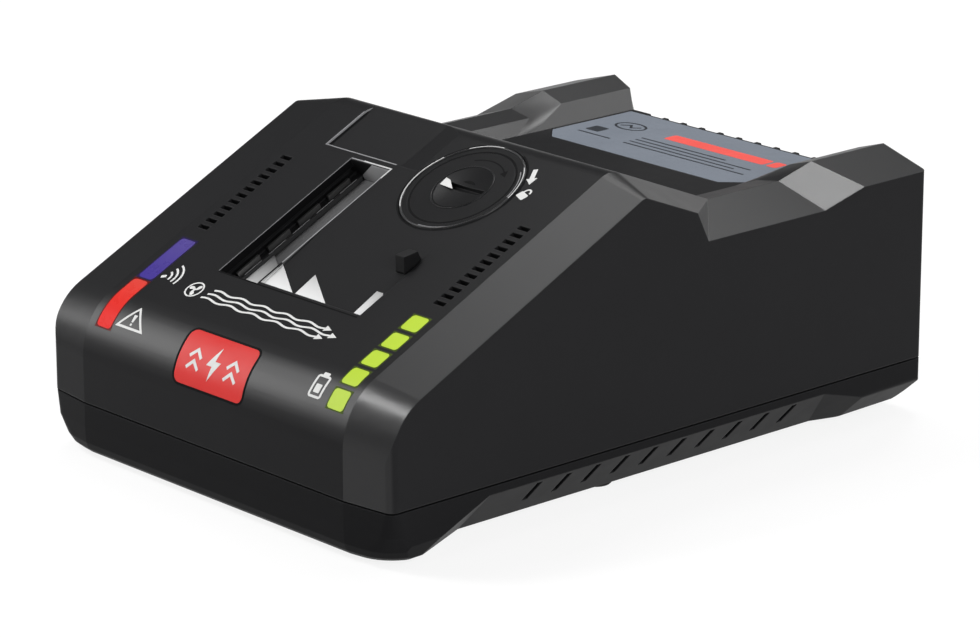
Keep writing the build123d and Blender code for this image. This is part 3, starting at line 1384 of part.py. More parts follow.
def board_screws():
    """Small screws of the three boards."""
    screw = pan_screw(
        0, BOARD_SCREW_LENGTH + BOARD, BOARD_SCREW_RADIUS, BOARD_SCREW_HEAD, BOARD_SCREW_HEIGHT,
    )
    screws = [Pos(x, y, BOARD_TOP) * screw for x, y in BOARD_SPOTS]
    flipped = Rot(180, 0, 0) * screw
    screws += [DECK * Pos(x, t, -DISPLAY_DEPTH - BOARD) * flipped for x, t in DISPLAY_PILLARS]
    screws += [BUTTON * Pos(x, 0, -SWITCH_DEPTH - BOARD) * flipped for x in SWITCH_PILLARS]
    return screws


def housing_screws():
    """Four screws up through the pillars of the lower housing."""
    length = UPPER_BASE + SCREW_GRIP - SCREW_SEAT - OVERLAP
    screw = Rot(180, 0, 0) * pan_screw(0, length, SCREW_SHANK, SCREW_HEAD, SCREW_HEAD_HEIGHT)
    return [Pos(x, y, SCREW_SEAT) * screw for x, y in SCREW_SPOTS]


def rubber_feet():
    """Six round feet set into the floor."""
    top = SHELL_BOTTOM + FOOT_SEAT
    foot = upright(0, 0, 0, top, FOOT_RADIUS)
    foot = chamfer(foot.edges().sort_by(Axis.Z)[0], FOOT_CHAMFER)
    return [Pos(x, y, 0) * foot for x, y in FOOT_SPOTS]


# ---------------------------------------------------------------- assembly
PIECES = [
    upper_housing, lower_housing, label_plate, coding_key, lead_in_plates, contact_carrier,
    contact_blades,
    fault_light_pipe, connection_light_pipe, charge_light_pipe, light_chips, display_board,
    fast_charge_button, switch_board, tact_switch, module_cover, cover_seal, radio_module,
    coin_cell, main_board, transformer_core, transformer_winding, bulk_capacitors,
    output_capacitors, heat_sink, power_transistors, line_choke, film_capacitor, power_relay,
    fuse, fuse_clips, board_connector, mains_terminal, fan_frame, fan_impeller, cord_inlet,
    cord_clamp, cord_clamp_screws, board_screws, housing_screws, rubber_feet,
]


if __name__ == "__main__":
    os.makedirs("parts", exist_ok=True)
    for piece in PIECES:
        made = piece()
        solids = made if isinstance(made, list) else [made]
        placed = [Pos(0, -LENGTH / 2, 0) * solid for solid in solids]
        shape = placed[0] if len(placed) == 1 else Compound(children=placed)
        export_step(shape, f"parts/{piece.__name__}.step")
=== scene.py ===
"""Looks of the slide-on battery charger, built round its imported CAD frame.

The scene is in metres. Shapes on the charger are drawn in millimetres, in deck coordinates: x to the
right, t up the slope from the nose (below 0 it goes down round the nose), n out of the surface.
"""
from math import cos, pi, radians, sin, tan

import bmesh
import bpy
from mathutils import Matrix, Vector


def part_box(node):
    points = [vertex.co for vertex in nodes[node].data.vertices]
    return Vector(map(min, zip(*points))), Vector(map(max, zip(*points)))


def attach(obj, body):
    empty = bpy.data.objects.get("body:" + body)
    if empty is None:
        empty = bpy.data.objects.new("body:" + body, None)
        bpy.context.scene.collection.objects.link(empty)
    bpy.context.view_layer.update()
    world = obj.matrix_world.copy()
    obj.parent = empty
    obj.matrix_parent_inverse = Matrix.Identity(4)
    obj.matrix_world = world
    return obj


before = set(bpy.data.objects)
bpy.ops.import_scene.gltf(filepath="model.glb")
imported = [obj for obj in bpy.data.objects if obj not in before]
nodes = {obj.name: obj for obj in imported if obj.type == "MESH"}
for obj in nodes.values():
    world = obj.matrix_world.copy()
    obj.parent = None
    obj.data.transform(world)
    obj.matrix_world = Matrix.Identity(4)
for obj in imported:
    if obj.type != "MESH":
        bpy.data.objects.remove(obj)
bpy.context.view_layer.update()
scene = bpy.context.scene
MM = 0.001

# ------------------------------------------------------------------ sizes shared with the CAD
LENGTH = 211.0
DECK_ANGLE = radians(25.9)
NOSE_HEIGHT = 43.3
NOSE_RADIUS = 20.5
NOSE_TANGENT = NOSE_RADIUS * tan((pi / 2 - DECK_ANGLE) / 2)
NOSE_CENTRE = (NOSE_RADIUS, NOSE_HEIGHT - NOSE_TANGENT)
DECK_START = (NOSE_TANGENT * cos(DECK_ANGLE), NOSE_HEIGHT + NOSE_TANGENT * sin(DECK_ANGLE))
RIDGE_START = 92.4
RIDGE_RADIUS = 8.0
SLOT_DEPTH = 7.0
SLOT_WALL_X = -29.3
SLOT_END_T = 73.4
CARRIER_WALL_X = -26.7
COVER_CENTRE = (17.7, 75.0)
LABEL_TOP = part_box("label_plate")[1][2] / MM


def skin(x, t, n=0.0):
    """Row-frame point over the deck (t > 0), round the nose (t < 0) or over the ridge."""
    if t > RIDGE_START:
        a = (t - RIDGE_START) / RIDGE_RADIUS
        t = RIDGE_START + (RIDGE_RADIUS + n) * sin(a)
        n = (RIDGE_RADIUS + n) * cos(a) - RIDGE_RADIUS
    if t >= 0:
        y = DECK_START[0] + t * cos(DECK_ANGLE) - n * sin(DECK_ANGLE)
        z = DECK_START[1] + t * sin(DECK_ANGLE) + n * cos(DECK_ANGLE)
    else:
        a = pi / 2 + DECK_ANGLE - t / NOSE_RADIUS
        y = NOSE_CENTRE[0] + (NOSE_RADIUS + n) * cos(a)
        z = NOSE_CENTRE[1] + (NOSE_RADIUS + n) * sin(a)
    return Vector((x, y - LENGTH / 2, z)) * MM


def on_label(x, t, n=0.0):
    """Row-frame point over the label plate; t is the distance from the charger's front."""
    return Vector((x, t - LENGTH / 2, LABEL_TOP + n)) * MM


def slot_floor(x, t, n=0.0):
    """Row-frame point over the guide slot's floor."""
    return skin(x, t, n - SLOT_DEPTH)


def carrier_wall(height, t, n=0.0):
    """Row-frame point over the contact carrier's side, at a height over the slot's floor."""
    return skin(CARRIER_WALL_X + n, t, height - SLOT_DEPTH)


def slot_side(height, t, n=0.0):
    """Row-frame point over the slot's left wall, at a height over its floor."""
    return skin(SLOT_WALL_X + n, t, height - SLOT_DEPTH)


def slot_end(x, height, n=0.0):
    """Row-frame point over the slot's upper end wall, at a height over its floor."""
    return skin(x, SLOT_END_T - n, height - SLOT_DEPTH)


# ------------------------------------------------------------------ shader nodes
NOISE_ROUGHNESS = 0.55
EDGE_HIGHLIGHT_RADIUS = 0.0006            # metres of edge that the painted edge highlight looks at
EDGE_HIGHLIGHT_START, EDGE_HIGHLIGHT_FULL = 0.985, 0.9      # agreement of the bevelled and the plain normal
EDGE_HIGHLIGHT_GAIN, EDGE_HIGHLIGHT_LIFT = 3.0, 0.02        # colour of a painted edge highlight, from the plain one
GRAIN_HEIGHT = 0.0002           # metres
CURVE_START, CURVE_END = (0.1, 0.5), (0.72, 0.98)   # normal's Z over the nose's curve
BEVEL_START, BEVEL_END = (0.05, 0.11), (0.7, 0.9)   # normal's X over bevels that lean to the right


def tree(name):
    """A new material with its node tree and its main shader."""
    mat = bpy.data.materials.new(name)
    mat.use_nodes = True
    nt = mat.node_tree
    return mat, nt, nt.nodes["Principled BSDF"]


def noise(nt, coords, scale, detail):
    made = nt.nodes.new("ShaderNodeTexNoise")
    made.inputs["Scale"].default_value = scale
    made.inputs["Detail"].default_value = detail
    made.inputs["Roughness"].default_value = NOISE_ROUGHNESS
    nt.links.new(coords, made.inputs["Vector"])
    return made.outputs["Fac"]


def ramp(nt, fac, low, high, a, b):
    """A value from a to b while fac goes from low to high."""
    made = nt.nodes.new("ShaderNodeMapRange")
    made.inputs["From Min"].default_value = low
    made.inputs["From Max"].default_value = high
    made.inputs["To Min"].default_value = a
    made.inputs["To Max"].default_value = b
    nt.links.new(fac, made.inputs["Value"])
    return made.outputs["Result"]


def maths(nt, operation, *values):
    """Math node over numbers and sockets."""
    made = nt.nodes.new("ShaderNodeMath")
    made.operation = operation
    for socket, value in zip(made.inputs, values):
        if isinstance(value, float):
            socket.default_value = value
        else:
            nt.links.new(value, socket)
    return made.outputs[0]


def mix_colour(nt, fac, a, b):
    """Mix of two colours, each a tuple or a socket."""
    made = nt.nodes.new("ShaderNodeMix")
    made.data_type = "RGBA"
    for socket, value in ((made.inputs[6], a), (made.inputs[7], b)):
        if isinstance(value, tuple):
            socket.default_value = (*value, 1.0)
        else:
            nt.links.new(value, socket)
    nt.links.new(fac, made.inputs[0])
    return made.outputs[2]


def rounded_normal(nt, radius, samples):
    """Normal that is softened near edges."""
    made = nt.nodes.new("ShaderNodeBevel")
    made.samples = samples
    made.inputs["Radius"].default_value = radius
    return made.outputs[0]


def painted_edge_highlight(nt, tone, colour, edge_highlight):
    """Tone that is lighter where the surface bends sharply: a painted highlight along edges."""
    dot = nt.nodes.new("ShaderNodeVectorMath")
    dot.operation = "DOT_PRODUCT"
    nt.links.new(rounded_normal(nt, EDGE_HIGHLIGHT_RADIUS, 4), dot.inputs[0])
    nt.links.new(nt.nodes.new("ShaderNodeNewGeometry").outputs["Normal"], dot.inputs[1])
    edge = ramp(nt, dot.outputs["Value"], EDGE_HIGHLIGHT_START, EDGE_HIGHLIGHT_FULL, 0.0, edge_highlight)
    return mix_colour(nt, edge, tone, tuple(min(c * EDGE_HIGHLIGHT_GAIN + EDGE_HIGHLIGHT_LIFT, 1.0) for c in colour))


def polish(nt, curve, bevels):
    """Coat weight: curve on the nose's curve, bevels on faces that lean right, 0 on walls and tops."""
    facing = nt.nodes.new("ShaderNodeSeparateXYZ")
    nt.links.new(nt.nodes.new("ShaderNodeNewGeometry").outputs["Normal"], facing.inputs[0])
    aside, up = facing.outputs["X"], facing.outputs["Z"]
    along = maths(nt, "MINIMUM", ramp(nt, up, *CURVE_START, 0.0, curve),
                  ramp(nt, up, *CURVE_END, curve, 0.0))
    across = maths(nt, "MINIMUM", ramp(nt, aside, *BEVEL_START, 0.0, bevels),
                   ramp(nt, aside, *BEVEL_END, bevels, 0.0))
    return maths(nt, "MAXIMUM", along, across)


def material(name, colour, rough=0.45, vary=0.12, grain=2600.0, depth=0.12, blotch=45.0,
             rough_vary=0.06, metallic=0.0, specular=0.5, edge_highlight=0.0, coat=None, emit=0.0,
             round_edges=0.0, fade=None):
    """Moulded, printed or metal surface with blotchy tone, uneven gloss and fine grain.

    vary and rough_vary are the spread of tone and roughness over blotches; grain and depth are the
    bump's scale and strength; a painted highlight lightens sharp edges by the amount edge_highlight,
    and round_edges (metres) softens them; coat is the polish of the nose's curve and of the bevels;
    fade is the colour at the piece's rear end.
    """
    mat, nt, shader = tree(name)
    place = nt.nodes.new("ShaderNodeTexCoord")
    coords = place.outputs["Object"]
    low = tuple(c * (1 - vary) for c in colour)
    high = tuple(min(c * (1 + vary), 1.0) for c in colour)
    tone = mix_colour(nt, noise(nt, coords, blotch, 4.0), low, high)
    if fade:
        split = nt.nodes.new("ShaderNodeSeparateXYZ")
        nt.links.new(place.outputs["Generated"], split.inputs[0])
        tone = mix_colour(nt, split.outputs["Y"], tone, fade)
    if edge_highlight:
        tone = painted_edge_highlight(nt, tone, colour, edge_highlight)
    nt.links.new(tone, shader.inputs["Base Color"])
    gloss = noise(nt, coords, blotch * 3, 3.0)
    nt.links.new(ramp(nt, gloss, 0.3, 0.7, rough - rough_vary, rough + rough_vary),
                 shader.inputs["Roughness"])
    bump = nt.nodes.new("ShaderNodeBump")
    bump.inputs["Strength"].default_value = depth
    bump.inputs["Distance"].default_value = GRAIN_HEIGHT
    nt.links.new(noise(nt, coords, grain, 2.0), bump.inputs["Height"])
    if round_edges:
        nt.links.new(rounded_normal(nt, round_edges, 6), bump.inputs["Normal"])
    nt.links.new(bump.outputs[0], shader.inputs["Normal"])
    shader.inputs["Metallic"].default_value = metallic
    shader.inputs["Specular IOR Level"].default_value = specular
    if coat:
        nt.links.new(polish(nt, *coat), shader.inputs["Coat Weight"])
        shader.inputs["Coat Roughness"].default_value = rough
    if emit:
        nt.links.new(tone, shader.inputs["Emission Color"])
        shader.inputs["Emission Strength"].default_value = emit
    return mat


def hexc(r, g, b):
    """Linear colour from sRGB 0-255."""
    return tuple(((c / 255 + 0.055) / 1.055) ** 2.4 if c > 10 else c / 255 / 12.92 for c in (r, g, b))


MOULDED = {"vary": 0.05, "rough_vary": 0.02, "grain": 1900}
MATERIALS = {
    # housing
    # the shell, the lower shell and the cover get a painted highlight on their sharp edges
    "shell": material("charcoal_shell", hexc(25, 25, 26), 0.33, edge_highlight=0.2, depth=0.035, specular=0.04,
                      coat=(0.46, 0.4), round_edges=0.0007, **MOULDED),
    "lower": material("dark_lower_shell", hexc(20, 20, 21), 0.42, edge_highlight=0.15, depth=0.035,
                      specular=0.03, round_edges=0.0006, **MOULDED),
    "cover": material("charcoal_cover", hexc(21, 21, 22), 0.3, edge_highlight=0.15, depth=0.03, specular=0.1,
                      round_edges=0.0003, **MOULDED),
    "black": material("black_nylon", hexc(13, 13, 14), 0.5, specular=0.12, round_edges=0.0003),
    "carrier": material("contact_carrier", hexc(26, 26, 27), 0.45, specular=0.15,
                        round_edges=0.0003),
    "pale": material("pale_plates", hexc(200, 200, 200), 0.42, vary=0.05, specular=0.1,
                     fade=hexc(64, 64, 65)),
    "label": material("label_film", hexc(99, 105, 114), 0.38, vary=0.05, grain=4000, depth=0.05,
                      specular=0.2),
    # lights and button
    "red_lens": material("red_lens", hexc(188, 26, 22), 0.3, vary=0.06, depth=0.03, emit=0.05,
                         blotch=90, specular=0.04, fade=hexc(176, 62, 54)),
    "blue_lens": material("violet_lens", hexc(54, 42, 118), 0.3, vary=0.15, depth=0.03, emit=0.03,
                          blotch=90, specular=0.12, fade=hexc(70, 60, 118)),
    "green_lens": material("lime_lens", hexc(156, 180, 52), 0.35, vary=0.06, depth=0.03, emit=0.04,
                           specular=0.12),
    "button": material("red_button", hexc(180, 36, 33), 0.34, vary=0.06, grain=3000, depth=0.04,
                       specular=0.15),
    # fittings and the inside
    "blade": material("nickel_blades", (0.16, 0.16, 0.16), 0.45, metallic=1.0, depth=0.05),
    "steel": material("zinc_steel", (0.5, 0.5, 0.52), 0.35, metallic=1.0, depth=0.08),
    "rubber": material("rubber", hexc(22, 22, 22), 0.75, specular=0.2, depth=0.25),
    "board": material("solder_mask", (0.01, 0.09, 0.035), 0.35, depth=0.05, blotch=300),
    "lamp": material("lamp_body", hexc(225, 220, 180), 0.35, vary=0.05),
    "ferrite": material("ferrite", hexc(42, 42, 44), 0.7, depth=0.3),
    "tape": material("winding_tape", hexc(200, 165, 50), 0.35),
    "can": material("capacitor_sleeve", hexc(38, 42, 70), 0.3),
    "aluminium": material("aluminium", (0.6, 0.61, 0.62), 0.35, metallic=1.0, depth=0.1),
    "copper": material("enamelled_copper", (0.5, 0.19, 0.06), 0.3, metallic=1.0),
    "blue": material("blue_box", hexc(40, 80, 130), 0.35),
    "grey": material("grey_connector", hexc(200, 200, 190), 0.4),
    "glass": material("fuse_glass", hexc(190, 205, 205), 0.1, depth=0.02),
    # printing and trim
    "print": material("white_print", hexc(188, 188, 187), 0.5, vary=0.06, grain=5000, depth=0.05,
                      blotch=600, specular=0.2),
    "gap": material("shadow_gap", hexc(7, 7, 8), 0.6, specular=0.05),
    # painted highlights: light strips laid on edges, lips and glints
    "gleam": material("painted_edge_gleam", hexc(118, 118, 120), 0.35, vary=0.25, blotch=120,
                      specular=0.3),
    "gleam_dim": material("painted_dim_edge_gleam", hexc(96, 96, 98), 0.4, vary=0.25, blotch=120, specular=0.2),
    "gleam_bright": material("lit_edge", hexc(168, 168, 168), 0.4, vary=0.2, blotch=150,
                             specular=0.2),
    "bead": material("cover_bead", hexc(30, 30, 31), 0.3, vary=0.1, specular=0.25),
    # painted light in the slot: a lit floor that lightens toward its upper end, a lit end wall and a
    # lit carrier side
    "slot_floor": material("painted_slot_floor_light", hexc(44, 44, 45), 0.42, vary=0.08, specular=0.15,
                           fade=hexc(92, 92, 93)),
    "slot_end": material("painted_slot_end_light", hexc(150, 150, 151), 0.5, vary=0.08, specular=0.1),
    "carrier_side_painted_light": material("carrier_side_painted_light", hexc(60, 60, 61), 0.5, vary=0.08, specular=0.1),
    "red_bleed": material("red_bleed", hexc(78, 16, 14), 0.4, specular=0.05),
    "violet_bleed": material("violet_bleed", hexc(32, 25, 58), 0.4, specular=0.05),
    "lime_bleed": material("lime_bleed", hexc(58, 72, 20), 0.4, specular=0.05),
    "label_red": material("label_red", hexc(205, 70, 62), 0.4, vary=0.05, specular=0.3),
    "label_dark": material("label_ink", hexc(36, 39, 44), 0.45, vary=0.08, specular=0.1),
}
NODE_MATERIAL = {
    "upper_housing": "shell", "lower_housing": "lower", "label_plate": "label",
    "coding_key": "black", "lead_in_plates": "pale", "contact_carrier": "carrier",
    "contact_blades": "blade", "fault_light_pipe": "red_lens", "connection_light_pipe": "blue_lens",
    "charge_light_pipe": "green_lens", "light_chips": "lamp", "display_board": "board",
    "fast_charge_button": "button", "switch_board": "board", "tact_switch": "steel",
    "module_cover": "cover", "cover_seal": "rubber", "radio_module": "black", "coin_cell": "steel",
    "main_board": "board", "transformer_core": "ferrite", "transformer_winding": "tape",
    "bulk_capacitors": "can", "output_capacitors": "can", "heat_sink": "aluminium",
    "power_transistors": "black", "line_choke": "copper", "film_capacitor": "blue",
    "power_relay": "black", "fuse": "glass", "fuse_clips": "blade", "board_connector": "grey",
    "mains_terminal": "grey", "fan_frame": "black", "fan_impeller": "black",
    "cord_inlet": "rubber", "cord_clamp": "black", "cord_clamp_screws": "steel",
    "board_screws": "steel", "housing_screws": "steel", "rubber_feet": "rubber",
}
for name, key in NODE_MATERIAL.items():
    nodes[name].data.materials.clear()
    nodes[name].data.materials.append(MATERIALS[key])


# ------------------------------------------------------------------ flat outlines
def stroke(points, width, closed=False):
    """Quads of a line of even width through points, with mitred corners."""
    pts = [Vector(p) for p in points]
    count = len(pts)
    sides = []
    for i, here in enumerate(pts):
        before = pts[i - 1] if closed or i else None
        after = pts[(i + 1) % count] if closed or i < count - 1 else None
        runs = [(here - before).normalized()] if before is not None else []
        runs += [(after - here).normalized()] if after is not None else []
        normals = [Vector((-run.y, run.x)) for run in runs]
        mitre = sum(normals, Vector((0, 0))).normalized()
        reach = width / 2 / max(mitre.dot(normals[0]), 0.4)
        sides.append((here - mitre * reach, here + mitre * reach))
    last = count if closed else count - 1
    return [
        [sides[i][0], sides[(i + 1) % count][0], sides[(i + 1) % count][1], sides[i][1]]
        for i in range(last)
    ]


def arc(centre, radius, start, end, steps=16):
    """Points along an arc, angles in degrees from +x toward +t."""
    cx, ct = centre
    angles = [radians(start + (end - start) * i / steps) for i in range(steps + 1)]
    return [(cx + radius * cos(a), ct + radius * sin(a)) for a in angles]


def rectangle(x0, t0, x1, t1):
    return [(x0, t0), (x1, t0), (x1, t1), (x0, t1)]


def rounded(x0, t0, x1, t1, radius, steps=5):
    """Outline of a rectangle with rounded corners."""
    corners = [(x1 - radius, t1 - radius, 0), (x0 + radius, t1 - radius, 90),
               (x0 + radius, t0 + radius, 180), (x1 - radius, t0 + radius, 270)]
    return [p for cx, ct, a in corners for p in arc((cx, ct), radius, a, a + 90, steps)]


def bezel(x0, t0, x1, t1, inset, radius, steps=5):
    """Polygons of a frame with square outer and rounded inner corners."""
    outer = [(x1, t1), (x0, t1), (x0, t0), (x1, t0)]
    inner = rounded(x0 + inset, t0 + inset, x1 - inset, t1 - inset, radius, steps)
    shapes = []
    for k, corner in enumerate(outer):
        bend = inner[k * (steps + 1):(k + 1) * (steps + 1)]
        shapes += [[corner, p, q] for p, q in zip(bend, bend[1:])]
        shapes.append([corner, bend[-1], inner[(k + 1) % 4 * (steps + 1)], outer[(k + 1) % 4]])
    return shapes


def moved(shapes, at=(0, 0), scale=1.0, turn=0.0):
    """Shapes scaled, turned by degrees and moved to a place."""
    c, s = cos(radians(turn)) * scale, sin(radians(turn)) * scale
    return [[(p[0] * c - p[1] * s + at[0], p[0] * s + p[1] * c + at[1]) for p in shape]
            for shape in shapes]


# ------------------------------------------------------------------ pieces from outlines
BEAD_UP = Vector((0.05, -0.44, 0.9))    # near the deck's normal, so that no bead's run lies along it


def new_piece(bm, name, key, body):
    """Object from a bmesh, riding on a body, with one of the script's materials in its slot."""
    bmesh.ops.recalc_face_normals(bm, faces=bm.faces)
    mesh = bpy.data.meshes.new(name)
    bm.to_mesh(mesh)
    bm.free()
    piece = bpy.data.objects.new(name, mesh)
    scene.collection.objects.link(piece)
    mesh.materials.append(MATERIALS[key])
    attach(piece, body)


def printed(name, shapes, key, body="housing", surface=skin, low=-0.02, high=0.05,
            cut=0.9):
    """Thin piece laid on a surface, between two heights over it.

    Its flat outlines are cut into bands, cut millimetres wide, so that they follow the curve.
    """
    bm = bmesh.new()
    for shape in shapes:
        bm.faces.new([bm.verts.new((p[0], p[1], 0)) for p in shape])
    bmesh.ops.recalc_face_normals(bm, faces=bm.faces)
    for face in bm.faces:
        if face.normal.z < 0:
            face.normal_flip()
    levels = [v.co.y for v in bm.verts]
    steps = int((max(levels) - min(levels)) / cut)
    for i in range(1, steps + 1):
        geometry = bm.verts[:] + bm.edges[:] + bm.faces[:]
        bmesh.ops.bisect_plane(bm, geom=geometry, plane_co=(0, min(levels) + i * cut, 0),
                               plane_no=(0, 1, 0))
    grown = bmesh.ops.extrude_face_region(bm, geom=bm.faces[:])["geom"]
    top = {v for v in grown if isinstance(v, bmesh.types.BMVert)}
    for v in bm.verts:
        v.co = surface(v.co.x, v.co.y, high if v in top else low)
    new_piece(bm, name, key, body)


def bead(name, points, radius, key, body="housing", sides=8):
    """Thin round bead along a closed ring of row-frame points."""
    bm = bmesh.new()
    count = len(points)
    rings = []
    for i, here in enumerate(points):
        run = (points[(i + 1) % count] - points[i - 1]).normalized()
        side = run.cross(BEAD_UP).normalized()
        up = side.cross(run)
        turns = [2 * pi * k / sides for k in range(sides)]
        rings.append([bm.verts.new(here + (side * cos(a) + up * sin(a)) * radius) for a in turns])
    for one, two in zip(rings, rings[1:] + rings[:1]):
        for k in range(sides):
            j = (k + 1) % sides
            bm.faces.new((one[k], one[j], two[j], two[k]))
    for face in bm.faces:
        face.smooth = True
    new_piece(bm, name, key, body)


# ------------------------------------------------------------------ marks on the nose and deck
# radio waves beside the violet light
waves = [rounded(-0.9, -0.55, 0.9, 0.55, 0.3)]
for reach in (2.6, 4.4, 6.2):
    waves += stroke(arc((0, 0), reach, -42, 42), 0.65)
printed("mark_radio", moved(waves, at=(-45.4, 9.9), turn=28), "print")

# fault triangle
triangle = stroke([(-5.8, -3.4), (5.8, -3.4), (-0.2, 3.6)], 0.75, closed=True)
triangle += [[(-0.75, 1.2), (-0.35, -1.3), (0.35, -1.3), (0.75, 1.2)],
             rounded(-0.4, -2.5, 0.4, -1.75, 0.2)]
printed("mark_fault", moved(triangle, at=(-40.4, -7.2), scale=0.94), "print")

# battery outline beside the charge lights
battery = stroke(rounded(-2.3, -3.7, 2.3, 2.7, 0.6), 0.7, closed=True)
battery += [rounded(-1.2, 2.9, 1.2, 4.0, 0.25), rounded(-1.15, -2.5, 1.15, 0.1, 0.3)]
printed("mark_battery", moved(battery, at=(41.6, -7.2)), "print")

# airflow band: a fan wheel, then three waves that end in arrowheads
FAN_BLADE = [(0.35, 0.1), (1.1, 1.35), (2.0, 1.5), (2.3, 0.75), (1.5, -0.15), (0.5, -0.35)]
WAVE_ENDS = (25.6, 29.6, 25.6)
WAVE_LOW, WAVE_PITCH, WAVE_SWING = 7.1, 1.9, 0.4
WAVE_STEPS, WAVE_CREST_COUNT = 72, 5
fan = stroke(arc((0, 0), 2.95, 0, 352, 40), 0.5, closed=True)
for k in range(3):
    fan += moved([FAN_BLADE], turn=120 * k + 20)
fan += [rounded(-0.5, -0.5, 0.5, 0.5, 0.45)]
flow = moved(fan, at=(-30.2, 9.0))
for k, last in enumerate(WAVE_ENDS):
    middle = WAVE_LOW + WAVE_PITCH * k
    first = -25.2 + k
    flow += stroke([
        (first + (last - first) * i / WAVE_STEPS,
         middle + WAVE_SWING * sin(2 * pi * i / WAVE_STEPS * WAVE_CREST_COUNT))
        for i in range(WAVE_STEPS + 1)
    ], 0.66)
    flow += [[(last - 0.2, middle - 1.15), (last + 2.6, middle), (last - 0.2, middle + 1.15)]]
printed("mark_airflow", flow, "print", cut=3.0)

# arrow and open padlock beside the module cover
arrow = [[(-0.75, 3.6), (-0.75, -0.6), (0.75, -0.6), (0.75, 3.6)],
         [(-1.7, -0.6), (0, -3.4), (1.7, -0.6)]]
printed("mark_turn_arrow", moved(arrow, at=(36.2, 86.0), turn=28), "print")
padlock = [rounded(-1.9, -1.9, 1.9, 0.7, 0.4)]
padlock += stroke([(-1.2, 0.7)] + arc((0.0, 1.3), 1.2, 180, 0, 10) + [(1.2, 1.3)], 0.6)
printed("mark_padlock", moved(padlock, at=(39.6, 78.8), scale=0.95, turn=-20), "print")

# button: lightning bolt between two pairs of chevrons, and painted shade in the gap round the cap
CHEVRON_X, CHEVRON_HALF = 8.2, 2.5
CHEVRON_FOOT, CHEVRON_TIP, CHEVRON_PITCH = -3.2, -0.9, 3.4
bolt = [[(0.9, 5.6), (-3.0, -0.9), (-0.4, -0.9)], [(0.9, 5.6), (-0.4, -0.9), (0.35, 0.9)],
        [(-0.9, -5.6), (3.0, 0.9), (0.35, 0.9)], [(-0.9, -5.6), (0.35, 0.9), (-0.4, -0.9)]]
button_marks = moved(bolt, scale=0.92)
for side in (-1, 1):
    for step in (0, 1):
        middle, rise = side * CHEVRON_X, CHEVRON_PITCH * step
        button_marks += stroke([(middle - CHEVRON_HALF, CHEVRON_FOOT + rise),
                                (middle, CHEVRON_TIP + rise),
                                (middle + CHEVRON_HALF, CHEVRON_FOOT + rise)], 1.0)
printed("mark_button", moved(button_marks, at=(-1.0, -11.9)), "print", body="button")
printed("button_gap", stroke(rounded(-16.45, -20.4, 14.45, -3.35, 2.7), 0.75, closed=True), "gap",
        high=0.03)

# dark bezels with light bleed, which round off the lenses' corners
for name, low, high, key in (("bezel_fault", -12.8, 6.35, "red_bleed"),
                             ("bezel_radio", 6.8, 26.0, "violet_bleed")):
    printed(name, bezel(-54.75, low - 0.15, -47.45, high + 0.15, inset=0.45, radius=1.3), key,
            high=0.03)
CHARGE_FOOT, CHARGE_LENGTH, CHARGE_COUNT, CHARGE_GAP = -12.6, 38.2, 5, 1.5
segment = (CHARGE_LENGTH - (CHARGE_COUNT - 1) * CHARGE_GAP) / CHARGE_COUNT
for k in range(CHARGE_COUNT):
    low = CHARGE_FOOT + k * (segment + CHARGE_GAP)
    printed(f"bezel_charge_{k + 1}",
            bezel(47.4, low - 0.2, 54.8, low + segment + 0.2, inset=0.4, radius=1.1), "lime_bleed",
            high=0.03)

# ------------------------------------------------------------------ rail recess, bay and guide slot
# painted highlights along the edges that catch the light
printed("recess_edge", stroke([(-43.6, 96.5), (-43.6, 76.3), (-34.5, 76.2), (-12.0, 76.2)], 0.34),
        "gleam", low=-0.5, high=0.04, cut=1.5)
printed("slot_edge", stroke([(-29.5, 73.9), (-12.1, 73.9), (-12.1, 28.5)], 0.42), "gleam",
        high=0.05, cut=4.0)
printed("slot_edge_left", stroke([(-29.5, 18.4), (-29.5, 73.6)], 0.3), "gleam_dim",
        high=0.04, cut=4.0)
printed("slot_lip", stroke([(-24.0, 74.0), (-12.0, 74.0), (-12.0, 69.5)], 0.5), "gleam_bright",
        high=0.07, cut=4.0)

# glints along the contact carrier's top edge, broken by its contacts
dashes = []
for k in range(5):
    dashes += stroke([(-26.95, 24.0 + 10.0 * k), (-26.95, 31.0 + 10.0 * k)], 0.28)
printed("carrier_dashes", dashes, "gleam", surface=slot_floor, low=1.78,
        high=1.88, cut=5.0)

# painted shade along the slot's front right corner and along the bay's step
printed("slot_corner_dark", stroke([(-12.05, 18.6), (-12.05, 28.3)], 0.6), "gap",
        high=0.06, cut=4.0)
printed("bay_edge", stroke([(-29.3, 18.1), (31.3, 18.1)], 0.5), "gap",
        high=0.03)

# painted light and shade in the slot: a lit floor that lightens toward its upper end, a shaded left
# wall, a lit end wall and a lit carrier side
printed("slot_floor_painted_light", [rectangle(-26.5, 18.7, -12.5, 73.2)], "slot_floor",
        surface=slot_floor, low=0.0, high=0.25, cut=5.0)
printed("slot_wall_painted_shade", [rectangle(4.75, 18.7, 6.95, 73.1)], "gap", surface=slot_side, low=0.0,
        high=0.08, cut=5.0)
printed("slot_end_painted_light",
        [[(-26.6, 1.85), (-26.6, 0.3), (-12.5, 0.3), (-12.5, 6.9), (-20.1, 6.9)]], "slot_end",
        surface=slot_end, low=0.0, high=0.12, cut=3.0)
printed("carrier_painted_light", [rectangle(0.3, 19.3, 1.65, 72.8)], "carrier_side_painted_light", surface=carrier_wall,
        low=0.0, high=0.1, cut=5.0)

